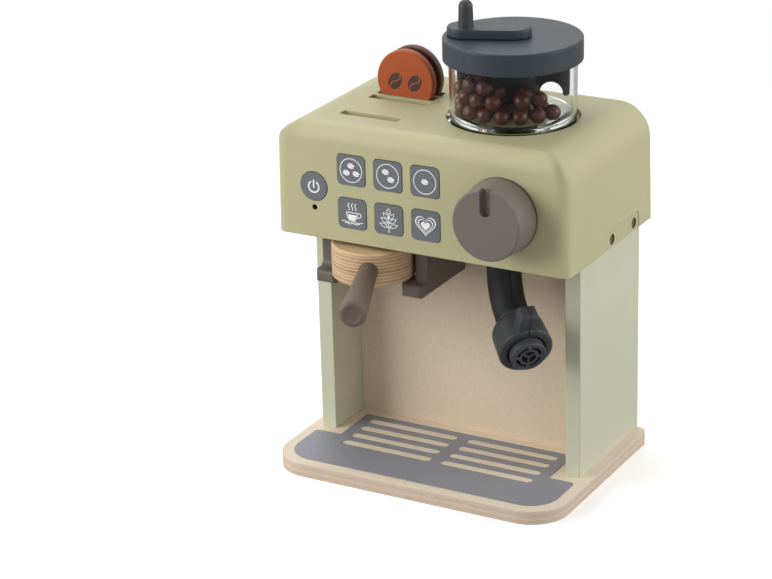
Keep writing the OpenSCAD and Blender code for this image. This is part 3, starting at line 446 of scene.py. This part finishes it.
def clearPlastic(name):
    # clear polystyrene; shadow and diffuse rays pass straight through, so what it holds is lit
    r = Recipe(name)
    smear = r.noise(35, 3, 0.5)
    glass = r.surface(colour=cupPlastic["tone"], roughness=0.02 + smear * 0.03, transmission=1.0,
                      ior=cupPlastic["ior"], normal=r.bump(smear, 0.03))
    through = r.add("BsdfTransparent", None, {"Color": cupPlastic["shadow"]}).outputs[0]
    return r.done(r.mixed(r.path("Shadow", "Diffuse"), glass, through))


def beadLacquer(name, colour):
    # dipped wooden beads, whose shade wanders from one to the next
    r = Recipe(name)
    drift = r.noise(60, 1, 0.4)
    grain = r.noise(3, 4, 0.6, r.stretched(80, 300, 300))
    tone = r.mottled(drift * 0.6 + grain * 0.4, colour, 0.65, 1.3)
    return r.done(r.surface(colour=tone, roughness=0.35 + grain * 0.1, normal=r.bump(grain, 0.02),
                            specular=0.25, coat=0.15, coatRoughness=0.12))


discCore = {
    "layer": 0.95, "rim": 0.5,                         # layer thickness; depth of the rim's own colour
    "dark": 0.3, "darkShade": 0.6, "darkTone": 0.6,    # where in a layer it darkens, and how much
}


def discPaint(name, colour, band, box):
    # painted face, with the layered core showing on the rim
    r = Recipe(name)
    low, high = box
    x, y, z = r.axes()
    radius = ((x - (low[0] + high[0]) / 2) ** 2 + (z - (low[2] + high[2]) / 2) ** 2) ** 0.5
    cloud = r.noise(30, 3, 0.5)
    peel = r.noise(1300, 3, 0.55)
    face = r.ramp(cloud * 0.6 + peel * 0.4, (0.32, shaded(colour, 0.93)), (0.68, shaded(colour, 1.06)))
    layer = ((y - low[1]) / discCore["layer"] + r.noise(50, 2, 0.5) * 0.5) % 1
    isDark = abs(layer - 0.5) > discCore["dark"]
    rim = r.blend(isDark * discCore["darkShade"], band, shaded(band, discCore["darkTone"]))
    isRim = radius > (high[0] - low[0]) / 2 - discCore["rim"]
    return r.done(r.surface(colour=r.blend(isRim, face, rim), roughness=0.5 + peel * 0.1, specular=0.35,
                            normal=r.bump(peel * 0.6 + isRim * layer * 0.4, 0.04, 0.3)))


def plain(name, colour, roughness=0.5):
    # even ink or plastic with a barely visible grain
    r = Recipe(name)
    fine = r.noise(900, 2, 0.5)
    tone = r.mottled(fine, colour, 0.94, 1.05)
    return r.done(r.surface(colour=tone, roughness=roughness, normal=r.bump(fine, 0.01)))


board = {
    "pitch": 3.1, "row": 9, "track": 0.12,   # tracks: spacing, height of a run, half width as a share
    "thick": 1.65, "mask": tint(22, 84, 48), "copper": tint(52, 118, 66), "switch": tint(40, 42, 45),
}


def circuitBoard(name):
    # green solder mask with tracks under it; the switch bodies in front of the board are dark
    r = Recipe(name)
    x, y, z = r.axes()
    run = (z / board["row"]).floor()
    track = abs((x / board["pitch"] + run * 0.5) % 1 - 0.5) < board["track"]
    mask = r.blend(track, board["mask"], board["copper"])
    fine = r.noise(500, 2, 0.5)
    face = boxOf("control_board")[1][1] - board["thick"]
    return r.done(r.surface(colour=r.blend(y < face, mask, board["switch"]), roughness=0.35 + fine * 0.15,
                            normal=r.bump(fine, 0.02, 0.1)))


cell = {"length": 50, "band": 12, "sleeve": tint(45, 47, 52), "copper": tint(170, 116, 70)}


def cellWrap(name):
    # battery cells: a dark sleeve with a copper-coloured end band
    r = Recipe(name)
    x = r.axes()[0]
    fine = r.noise(400, 2, 0.5)
    colour = r.blend((x % cell["length"]) < cell["band"], cell["sleeve"], cell["copper"])
    return r.done(r.surface(colour=colour, roughness=0.3 + fine * 0.1, metallic=0.4,
                            normal=r.bump(fine, 0.01)))


paint = {
    "sage": tint(207, 207, 182), "shell": tint(190, 186, 145), "plate": tint(187, 183, 143),
    "button": tint(112, 116, 119), "knob": tint(120, 112, 105),
    "rail": tint(112, 104, 96), "handle": tint(110, 98, 86),
    "charcoal": tint(60, 63, 67), "tube": tint(34, 35, 37), "nozzle": tint(66, 68, 72),
    "lid": tint(54, 62, 68), "black": tint(12, 12, 13), "bead": tint(70, 28, 13),
    "board": tint(222, 204, 180), "mat": tint(140, 142, 150), "lamp": tint(60, 14, 12),
    "steel": tint(196, 197, 200), "zinc": tint(150, 150, 148),
    "orange": tint(178, 84, 38), "orangeRim": tint(184, 104, 60),
    "brown": tint(82, 52, 38), "brownRim": tint(112, 78, 58),
    "print": tint(255, 255, 255), "beanPrint": tint(66, 44, 36),
}

finishes = {
    "base_board": plywood("basePlywood", boardWood),
    "back_panel": fibreBoard("backBoard", paint["board"]),
    "drip_mat": printedMat("dripMatPrint", paint["mat"]),
    "green_paint": paintedWood("sagePaint", paint["sage"]),
    "head_shell": moulded("floorPaint", paint["shell"], roughness=0.5, edge=0.8, depth=0.03, wear=0.02),
    "circuit_board": circuitBoard("circuitBoard"),
    "lamp": plain("lampRed", paint["lamp"], 0.3),
    "black_plastic": moulded("blackPlastic", paint["black"], edge=0.3),
    "cells": cellWrap("cellWrap"),
    "taupe_plastic": moulded("taupePlastic", paint["knob"], edge=0.9, specular=0.3),
    "taupe_paint": paintedWood("taupePaint", paint["handle"], edge=1.6, specular=0.3),
    "shaft_steel": metal("shaftSteel", paint["steel"]),
    "screw_steel": metal("screwZinc", paint["zinc"], 0.38),
    "clear_plastic": clearPlastic("clearCup"),
    "beans": beadLacquer("beadLacquer", paint["bead"]),
    "lid_slate": moulded("lidSlate", paint["lid"], edge=1.3, grain=2200, depth=0.03, specular=0.35),
    "puck_orange": discPaint("orangeDisc", paint["orange"], paint["orangeRim"], boxOf("puck_orange")),
    "puck_brown": discPaint("brownDisc", paint["brown"], paint["brownRim"], boxOf("puck_brown")),
    "portafilter_disc": plywood("layeredDisc", discWood),
}

# where the painted gap shade starts on the keys, the power button, the knob and the side plates
faceOfKey = frontOf("key_cup") + gap["proud"]
faceOfPower = frontOf("power_button") + gap["proud"]
backOfKnob = frontOf("head_shell") - gap["knobBack"]
faceOfPlate = sideOf("side_plate_left") - gap["plateFace"]
keyFinish = shadedInGaps("keySlate", paint["button"], 1, faceOfKey, gap["deepest"])
railFinish = moulded("railPlastic", paint["rail"], edge=2.0, specular=0.3)
plateFinish = shadedInGaps("platePaint", paint["plate"], 0, 0, faceOfPlate, edge=0.3, roughness=0.5)
wandFinish = wandPlastic("wandPlastic", paint["tube"], paint["charcoal"], middleOf("nozzle_ring"))

# nodes with a finish of their own; the others take their slot's
ownFinish = {
    "head_shell": housing("housingPaint", paint["shell"], boxOf("head_shell")),
    "side_plate_left": plateFinish, "side_plate_right": plateFinish,
    "power_button": shadedInGaps("powerSlate", paint["button"], 1, faceOfPower, gap["deepest"]),
    "selector_knob": shadedInGaps("knobPlastic", paint["knob"], 1, backOfKnob, gap["deepest"],
                            edge=1.1, specular=0.3),
    "rail_left": railFinish, "rail_right": railFinish,
    "wand_half_left": wandFinish, "wand_half_right": wandFinish,
    "nozzle_ring": moulded("nozzlePlastic", paint["nozzle"], edge=0.6, specular=0.35),
    "nozzle_grille": moulded("grillePlastic", paint["nozzle"], edge=0.2, specular=0.35),
    "stirrer": moulded("stirrerPlastic", paint["black"], roughness=0.35, edge=0.8,
                       depth=0.005, specular=0.15),
}
for key in ("triple", "double", "single", "cup", "leaf", "heart"):
    ownFinish["key_" + key] = keyFinish


def dressNodes():
    for part in frame["record"]["subparts"]:
        node = frame["nodes"][part["node"]]
        node.data.materials.clear()
        node.data.materials.append(ownFinish.get(part["node"]) or finishes[part["material_slot"]])


dressNodes()
print("stage: finishes on", len(frame["nodes"]), "nodes")


def meshFrom(thing, name):
    # the evaluated result of a curve or of a modifier, as a mesh of its own
    bpy.context.view_layer.update()
    evaluated = thing.evaluated_get(bpy.context.evaluated_depsgraph_get())
    mesh = bpy.data.meshes.new_from_object(evaluated)
    mesh.name = name
    bpy.data.objects.remove(thing)
    return mesh


def filled(outlines, thickness):
    # closed outlines in millimetres; an outline inside another is a hole
    curve = bpy.data.curves.new("outline", "CURVE")
    curve.dimensions = "2D"
    curve.fill_mode = "BOTH"
    curve.extrude = thickness * mm / 2
    for outline in outlines:
        spline = curve.splines.new("POLY")
        spline.points.add(len(outline) - 1)
        for point, (u, v) in zip(spline.points, outline):
            point.co = (u * mm, v * mm, 0, 1)
        spline.use_cyclic_u = True
    thing = bpy.data.objects.new("outline", curve)
    bpy.context.scene.collection.objects.link(thing)
    return meshFrom(thing, "outline")


def circle(radius, u=0.0, v=0.0, steps=48, start=0.0, sweep=360.0):
    # points round a circle or along an arc
    parts = steps if sweep == 360 else steps - 1
    turns = [math.radians(start + sweep * i / parts) for i in range(steps)]
    return [(u + radius * math.cos(t), v + radius * math.sin(t)) for t in turns]


def stroke(points, width):
    # outline of a line of that width with round ends
    half = width / 2
    left, right = [], []
    for i, (u, v) in enumerate(points):
        a, b = points[max(i - 1, 0)], points[min(i + 1, len(points) - 1)]
        du, dv = b[0] - a[0], b[1] - a[1]
        size = math.hypot(du, dv)
        left.append((u - dv / size * half, v + du / size * half))
        right.append((u + dv / size * half, v - du / size * half))

    def cap(edge, end):
        turn = math.degrees(math.atan2(edge[1] - end[1], edge[0] - end[0]))
        return circle(half, *end, steps=7, start=turn, sweep=-180)[1:-1]

    return left + cap(left[-1], points[-1]) + right[::-1] + cap(right[0], points[0])


def turned(points, turn, u, v):
    c, s = math.cos(math.radians(turn)), math.sin(math.radians(turn))
    return [(u + c * p - s * q, v + s * p + c * q) for p, q in points]


def beanHalves(look, u=0.0, v=0.0):
    # an oval bean in two halves, with a wavy split between them
    a, b = look["beanWidth"] / 2, look["beanHeight"] / 2
    sway = 0.34 * a
    halves = []
    for side in (-1, 1):
        turns = [math.radians(t) for t in range(14, 167, 8)]
        arc = [(side * a * math.sin(t), b * math.cos(t)) for t in turns]
        heights = [-0.9 + 0.15 * i for i in range(13)]
        wave = [(sway * math.sin(math.pi * h) + side * look["beanGap"] / 2, b * h) for h in heights]
        halves.append(turned(arc + wave, look["beanTurn"], u, v))
    return halves


def piece(name, meshes, material, body):
    # one object from several meshes
    whole = bmesh.new()
    for mesh in meshes:
        whole.from_mesh(mesh)
        bpy.data.meshes.remove(mesh)
    bmesh.ops.remove_doubles(whole, verts=whole.verts, dist=1e-7)
    bmesh.ops.recalc_face_normals(whole, faces=whole.faces)
    data = bpy.data.meshes.new(name)
    whole.to_mesh(data)
    whole.free()
    data.materials.clear()
    data.materials.append(material)
    thing = bpy.data.objects.new(name, data)
    bpy.context.scene.collection.objects.link(thing)
    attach(thing, body)
    return thing


def printOn(name, node, shapes, look, body):
    # flat shapes on the front of a node, about the middle of its front face and a little sunk in it
    x, _, z = middleOf(node)
    y = frontOf(node) - look["thick"] * look["stand"]
    stand = Matrix.Translation((x * mm, y * mm, z * mm)) @ Matrix.Rotation(math.radians(90), 4, "X")
    meshes = [filled(shape, look["thick"]) for shape in shapes]
    for mesh in meshes:
        mesh.transform(stand)
    piece(name, meshes, look["ink"], body)


keyMark = {
    "thick": 0.08, "stand": 0.4,        # how far its middle stands off the face, in thicknesses
    "ring": 7.9, "ringLine": 0.5, "line": 0.55, "powerLine": 1.0,
    "beanWidth": 3.4, "beanHeight": 4.9, "beanTurn": 78, "beanGap": 0.36,
    "ink": plain("whitePrint", paint["print"]),
}


def ringAndBeans(places):
    shapes = [[circle(keyMark["ring"]), circle(keyMark["ring"] - keyMark["ringLine"])]]
    return shapes + [[half] for u, v in places for half in beanHalves(keyMark, u, v)]


def cupMark():
    # a mug with a handle on a wavy saucer, three wisps of steam above; all drawn in millimetres
    line = keyMark["line"]
    bowl = [(-4.4, 1.0), (4.2, 1.0), (3.9, -1.2), (2.6, -3.8), (1.6, -4.6),
            (-2.0, -4.6), (-3.0, -3.8), (-4.1, -1.2)]
    hollow = [(u * 0.86 - 0.02, v * 0.8 - 0.35) for u, v in bowl]
    drink = [(u * 0.72, v * 0.62 - 1.25) for u, v in bowl]
    shapes = [[bowl, hollow], [drink]]
    shapes.append([stroke([(4.0, 0.6), (5.6, 0.9), (6.4, -0.4), (5.6, -2.0), (3.7, -2.3)], line)])
    for drop, reach in ((-5.5, 7.4), (-6.6, 5.2)):
        sway = [(-reach + i * reach / 6, drop + 0.35 * math.sin(i * 1.2)) for i in range(13)]
        shapes.append([stroke(sway, line * 0.9)])
    for u in (-2.4, 0, 2.4):
        wisp = [(u + 0.5 * math.sin(i * 1.05), 2.4 + i * 0.62) for i in range(8)]
        shapes.append([stroke(wisp, line)])
    return shapes


def leafOutline(length, width, turn, u, v):
    # a pointed leaf from its stem end
    steps = [i / 9 for i in range(10)]
    line = [(width * math.sin(math.pi * t) * (1 - 0.3 * t), length * t) for t in steps]
    return turned(line + [(-p, q) for p, q in line[-2:0:-1]], turn, u, v)


def leafMark():
    # an upright sprig of seven open leaves
    shapes = [[stroke([(0.2, -8.2), (-0.1, -4.0), (0, 1.0), (0, 4.4)], keyMark["line"])]]
    sprigs = [(4.6, 1.75, 0, 0, 3.0)]
    for height, spread, size in ((0.4, 42, 5.4), (-2.4, 56, 6.4), (-5.0, 70, 6.6)):
        sprigs += [(size, 1.6, -spread, 0.35, height), (size, 1.6, spread, -0.35, height)]
    for size, width, turn, u, v in sprigs:
        rim = leafOutline(size, width, turn, u, v)
        a, b = (sum(axis) / len(rim) for axis in zip(*rim))
        hollow = [(a + (p - a) * 0.72, b + (q - b) * 0.72) for p, q in rim]
        shapes.append([rim, hollow])
    return shapes


def heart(scale, drop):
    # heart outline from the usual sine curve
    points = []
    for i in range(48):
        t = math.tau * i / 48
        u = 16 * math.sin(t) ** 3
        v = 13 * math.cos(t) - 5 * math.cos(2 * t) - 2 * math.cos(3 * t) - math.cos(4 * t)
        points.append((u * scale, v * scale + drop))
    return points


def heartMark():
    # a solid heart inside two lines
    middle = [heart(0.33, 0.3), heart(0.29, 0.3)]
    rim = [heart(0.45, 0.5), heart(0.4, 0.5)]
    return [[heart(0.2, 0.1)], middle, rim]


def powerMark():
    # a ring open at the top with an upright bar in the opening
    ring = circle(3.65, v=-0.2, steps=36, start=125, sweep=290)
    return [[stroke(line, keyMark["powerLine"])] for line in (ring, [(0, -0.6), (0, 4.2)])]


marks = {
    "triple": ringAndBeans([(0, 2.9), (-3.3, -1.8), (3.5, -1.8)]),
    "double": ringAndBeans([(-1.5, 2.5), (2.2, -2.1)]),
    "single": ringAndBeans([(0, 0)]),
    "cup": cupMark(), "leaf": leafMark(), "heart": heartMark(),
}
for body, shapes in marks.items():
    printOn("mark_" + body, "key_" + body, shapes, keyMark, body)
printOn("mark_power", "power_button", powerMark(), keyMark, "power")

discMark = {
    "thick": 0.08, "stand": 0.4,
    "beanWidth": 8.8, "beanHeight": 12.2, "beanTurn": -36, "beanGap": 1.0,
    "spread": 7.0, "drop": -0.6, "ink": plain("beanPrint", paint["beanPrint"]),
}


def twoBeans():
    places = [(side * discMark["spread"], discMark["drop"]) for side in (-1, 1)]
    return [[half] for u, v in places for half in beanHalves(discMark, u, v)]


printOn("mark_beans", "puck_orange", twoBeans(), discMark, "orange_disc")
print("stage: prints")


def turnedMesh(profile, middle, steps=96):
    # a closed profile of (radius, height) pairs in millimetres, turned round an upright axis;
    # the points that meet on the axis are merged by piece
    points, faces = [], []
    count = len(profile)
    for i in range(steps):
        turn = math.tau * i / steps
        points += [((middle[0] + q * math.cos(turn)) * mm, (middle[1] + q * math.sin(turn)) * mm, h * mm)
                   for q, h in profile]
        a, b = i * count, (i + 1) % steps * count
        for j in range(count):
            k = (j + 1) % count
            if profile[j][0] or profile[k][0]:
                faces.append((a + j, b + j, b + k, a + k))
    mesh = bpy.data.meshes.new("turned")
    mesh.from_pydata(points, [], faces)
    mesh.polygons.foreach_set("use_smooth", [True] * len(faces))
    return mesh


cupBase = {"inner": 17.4, "outer": 36.9, "bottom": 2.3, "top": 6.2, "edge": 0.6}


def makeCupBase():
    # thick clear floor ring that carries the beads
    low = bottomOf("hopper_cup")
    a, b, e = cupBase["inner"], cupBase["outer"], cupBase["edge"]
    c, d = low + cupBase["bottom"], low + cupBase["top"]
    profile = [(a, c), (b - e, c), (b, c + e), (b, d - e), (b - e, d), (a + e, d), (a, d - e)]
    ring = turnedMesh(profile, middleOf("crank_shaft"))
    piece("cup_base_ring", [ring], finishes["clear_plastic"], "hopper")


makeCupBase()


paddle = {
    "hub": 16.5, "foot": 8, "footHeight": 6, "above": 0.8, "bevel": 0.5,    # hub, above the floor
    "angle": 21.2, "thick": 5.0,            # arms
    "root": 3, "rise": 12,                  # how far they go into the hub and up into the lid
    "reach": 35.4, "bow": 4, "tip": 34.2, "toe": 1, "inner": 30.4, "heel": 0.8,
    "bottom": 14.6, "spring": 1.5, "arch": 7.2, "archSide": 0.2,     # the arch between hub and arm
}


def makePaddle():
    # hub with two arched arms that hang from it, clear of the lowest beads
    k = paddle
    floor = bottomOf("coffee_beans")
    top = topOf("stirrer")
    armTop = bottomOf("hopper_lid") + k["rise"]
    middle = middleOf("crank_shaft")
    foot = floor + k["above"]
    hub = [(0, foot), (k["foot"] - k["bevel"], foot), (k["foot"], foot + k["bevel"]),
           (k["hub"], floor + k["footHeight"]), (k["hub"], top), (0, top)]
    low = floor + k["bottom"]
    spring = low + k["spring"]
    centre = (k["hub"] + k["inner"]) / 2
    half = (k["inner"] - k["hub"]) / 2 + k["archSide"]
    turns = [math.radians(10 * i) for i in range(19)]
    arch = [(centre + half * math.cos(t), spring + k["arch"] * math.sin(t)) for t in turns]
    corner = circle(k["bow"], k["reach"] - k["bow"], armTop - k["bow"], steps=8, start=90, sweep=-90)
    toe = [(k["tip"], low + k["toe"]), (k["tip"] - k["toe"], low), (k["inner"] + k["heel"], low)]
    root = k["hub"] - k["root"]
    arm = [(root, armTop)] + corner + toe + arch + [(root, spring)]
    meshes = [turnedMesh(hub, middle)]
    for turn in (k["angle"], k["angle"] + 180):
        c, s = math.cos(math.radians(turn)), math.sin(math.radians(turn))
        plate = filled([arm], k["thick"])
        plate.transform(Matrix((
            (c, 0, s, middle[0] * mm), (s, 0, -c, middle[1] * mm), (0, 1, 0, 0), (0, 0, 0, 1))))
        meshes.append(plate)
    whole = piece("stirrer_paddle", meshes, ownFinish["stirrer"], "crank")
    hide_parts("stirrer")


makePaddle()


beads = {
    "radius": 5.1, "uneven": 0.03, "segments": 24, "rings": 14, "seed": 4, "count": 41,
    "hub": 16.6, "wall": 37.1, "lift": 6.3, "top": 29,
    "apart": 0.12, "clear": 0.1,         # spaces between two beads, and to the hub and the wall
    "leanTurn": 225, "lean": 0.5, "leanSpan": 38,    # where the pile is highest, and how steeply it rises
    "armHalf": 2.7, "laneTop": 10.4,     # the arms sweep free lanes above this at each quarter turn
}


def beadSpots():
    # where a bead can lie, in two rings: at the wall and at the hub
    c, s = math.cos(math.radians(paddle["angle"])), math.sin(math.radians(paddle["angle"]))
    spots = []
    for reach in (beads["wall"] - beads["radius"] - beads["clear"],
                  beads["hub"] + beads["radius"] + beads["clear"]):
        for turn in range(0, 360, 2):
            angle = math.radians(turn)
            u, v = reach * math.cos(angle), reach * math.sin(angle)
            inLane = min(abs(v * c - u * s), abs(u * c + v * s)) < beads["armHalf"] + beads["radius"]
            spots.append((u, v, turn, beads["laneTop"] if inLane else beads["top"]))
    return spots


def beadPlaces():
    # beads dropped one by one into the lowest free spot, so the pile leans towards one side
    middle = middleOf("crank_shaft")
    floor = bottomOf("hopper_cup") + beads["lift"]
    size = 2 * beads["radius"] + beads["apart"]
    spots = beadSpots()
    placed = []

    def rest(u, v):
        # height of a bead let down here
        height = beads["radius"]
        for p, q, h in placed:
            apart = size * size - (u - p) ** 2 - (v - q) ** 2
            if apart > 0:
                height = max(height, h + math.sqrt(apart))
        return height

    for _ in range(beads["count"]):
        best = None
        for u, v, turn, top in spots:
            height = rest(u, v)
            away = 1 - math.cos(math.radians(turn - beads["leanTurn"]))
            rank = height + away * beads["lean"] * beads["leanSpan"]
            if height <= top - beads["radius"] and (best is None or rank < best[0] - 1e-6):
                best = (rank, u, v, height)
        if best:
            placed.append(best[1:])
    return [(middle[0] + u, middle[1] + v, floor + h) for u, v, h in placed]


def beadTree(material):
    tree = bpy.data.node_groups.new("beadPile", "GeometryNodeTree")
    face = tree.interface
    face.new_socket("Places", in_out="INPUT", socket_type="NodeSocketGeometry")
    for label, kind in (("Bead Radius", "Float"), ("Uneven", "Float"), ("Seed", "Int")):
        face.new_socket(label, in_out="INPUT", socket_type="NodeSocket" + kind)
    face.new_socket("Beads", in_out="OUTPUT", socket_type="NodeSocketGeometry")
    n = Nodes(tree)
    given = n.add("NodeGroupInput").outputs
    ball = n.add("GeometryNodeMeshUVSphere", None, {
        "Segments": beads["segments"], "Rings": beads["rings"], "Radius": given["Bead Radius"]})
    smooth = n.add("GeometryNodeSetShadeSmooth", None, {0: ball.outputs["Mesh"]})
    turn = n.add("FunctionNodeRandomValue", {"data_type": "FLOAT_VECTOR"}, {
        "Max": (math.tau, math.tau, math.tau), "Seed": given["Seed"]})
    smallest = 1 - Signal(n, given["Uneven"])
    size = n.add("FunctionNodeRandomValue", {"data_type": "FLOAT"}, {
        2: smallest, 3: 1.0, "Seed": given["Seed"]})
    spread = n.add("GeometryNodeInstanceOnPoints", None, {
        "Points": given["Places"], "Instance": smooth.outputs[0], "Rotation": turn.outputs["Value"],
        "Scale": size.outputs[1]})
    real = n.add("GeometryNodeRealizeInstances", None, {0: spread.outputs[0]})
    dressed = n.add("GeometryNodeSetMaterial", None, {0: real.outputs[0], "Material": material})
    n.add("NodeGroupOutput", None, {0: dressed.outputs[0]})
    return tree


def makeBeads():
    data = bpy.data.meshes.new("beads")
    data.from_pydata([Vector(p) * mm for p in beadPlaces()], [], [])
    thing = bpy.data.objects.new("beads", data)
    bpy.context.scene.collection.objects.link(thing)
    tree = beadTree(finishes["beans"])
    modifier = thing.modifiers.new("pile", "NODES")
    modifier.node_group = tree
    wanted = {"Bead Radius": beads["radius"] * mm, "Uneven": beads["uneven"], "Seed": beads["seed"]}
    for item in tree.interface.items_tree:
        if item.name in wanted:
            modifier[item.identifier] = wanted[item.name]
    pile = bpy.data.objects.new("bean_beads", meshFrom(thing, "bean_beads"))
    bpy.context.scene.collection.objects.link(pile)
    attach(pile, "hopper")
    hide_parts("coffee_beans")


makeBeads()
print("stage: paddle and beads")


post = {"foot": 5.2, "rim": 0.4, "waist": 4.9, "waistUp": 2.2, "middle": 4.6, "crown": 4.4, "steps": 64}


def makeCrankPost():
    # turned grip with a domed end
    low, high = bottomOf("crank_post"), topOf("crank_post")
    crown = post["crown"]
    turns = [math.radians(6 * i) for i in range(15)]
    dome = [(crown * math.cos(t), high - crown + crown * math.sin(t)) for t in turns]
    stem = [(0, low), (post["foot"], low), (post["foot"], low + post["rim"]),
            (post["waist"], low + post["waistUp"]), (post["middle"], (low + high) / 2)]
    turnedGrip = turnedMesh(stem + dome + [(0, high)], middleOf("crank_post"), post["steps"])
    grip = piece("crank_grip", [turnedGrip], finishes["lid_slate"], "crank")
    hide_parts("crank_post")


makeCrankPost()
print("stage: crank grip")


light = {
    "lamps": [
        # name, place, size, watts; all aim at the middle of the machine
        ("leftWindow", (-1.15, -1.05, 0.75), 1.15, 22.0),
        ("rightBack", (1.5, 0.35, 0.75), 1.2, 15.0),
        ("rightFill", (1.5, -1.0, 0.45), 1.0, 3.0),
        ("topPanel", (-0.6, 0.55, 1.4), 1.0, 8.0),
    ],
    "aim": (0, 0, 0.15),
    "front": 0.34, "back": 0.36,            # world seen by diffuse rays, in front and behind
    "frontGloss": 0.28, "backGloss": 1.1,   # world seen by glossy rays
    "sweep": 0.7,                           # how quickly front turns to back
    "clear": 0.88,                          # world seen through the cup
    "floor": 0.93, "floorLift": 0.3,        # floor seen by the eye: paint, and light of its own
    "floorBounce": 0.36,                    # floor seen by diffuse rays
    "floorGloss": 0.5,                      # floor seen by glossy rays
    "floorHalf": 6,                         # metres
    "floorNear": 350, "floorFade": 700,     # millimetres from the middle where it turns plain white
}


def makeFloor():
    # pale to the eye, greyer for bounced light
    r = Recipe("paleFloor")

    def matt(grey):
        return r.add("BsdfDiffuse", None, {"Color": (grey, grey, grey)}).outputs[0]

    def glow(strength):
        return r.add("Emission", None, {"Color": (1, 1, 1), "Strength": strength}).outputs[0]

    near = r.add("AddShader", None, {0: matt(light["floor"]), 1: glow(light["floorLift"])}).outputs[0]
    x, y = r.axes()[:2]
    far = (((x ** 2 + y ** 2) ** 0.5 - light["floorNear"]) / light["floorFade"]).clamped()
    seen = r.mixed(far, near, glow(1))
    other = r.mixed(r.path("Glossy"), matt(light["floorBounce"]), matt(light["floorGloss"]))
    material = r.done(r.mixed((r.path("Camera") + r.straightThrough()).clamped(), other, seen))
    half = light["floorHalf"]
    data = bpy.data.meshes.new("floor")
    corners = [(-half, -half, 0), (half, -half, 0), (half, half, 0), (-half, half, 0)]
    data.from_pydata(corners, [], [(0, 1, 2, 3)])
    data.materials.append(material)
    floor = bpy.data.objects.new("floor", data)
    bpy.context.scene.collection.objects.link(floor)


def makeLamps():
    for name, place, size, watts in light["lamps"]:
        lamp = bpy.data.lights.new(name, "AREA")
        lamp.size = size
        lamp.energy = watts
        thing = bpy.data.objects.new(name, lamp)
        aim = (Vector(place) - Vector(light["aim"])).to_track_quat("Z", "Y")
        thing.matrix_world = Matrix.Translation(place) @ aim.to_matrix().to_4x4()
        bpy.context.scene.collection.objects.link(thing)


def makeWorld():
    # white to the eye; for the light itself dimmer in front than behind
    world = bpy.data.worlds.new("studio")
    bpy.context.scene.world = world
    world.use_nodes = True
    n = Nodes(world.node_tree)
    split = n.add("SeparateXYZ", None, {0: n.add("TexCoord").outputs["Generated"]})
    behind = (Signal(n, split.outputs[1]) * light["sweep"] + 0.5).clamped()

    def glow(strength):
        return n.add("Background", None, {"Color": (1, 1, 1), "Strength": strength}).outputs[0]

    def between(first, last):
        return light[first] + behind * (light[last] - light[first])

    soft = glow(between("front", "back"))
    gloss = glow(between("frontGloss", "backGloss"))
    lit = n.mixed(n.path("Glossy"), soft, gloss)
    lit = n.mixed(n.straightThrough(), lit, glow(light["clear"]))
    n.add("OutputWorld", None, {"Surface": n.mixed(n.path("Camera"), lit, glow(1.0))})


makeFloor()
makeLamps()
makeWorld()
bpy.context.scene.view_settings.view_transform = "Standard"
print("stage: floor and light")
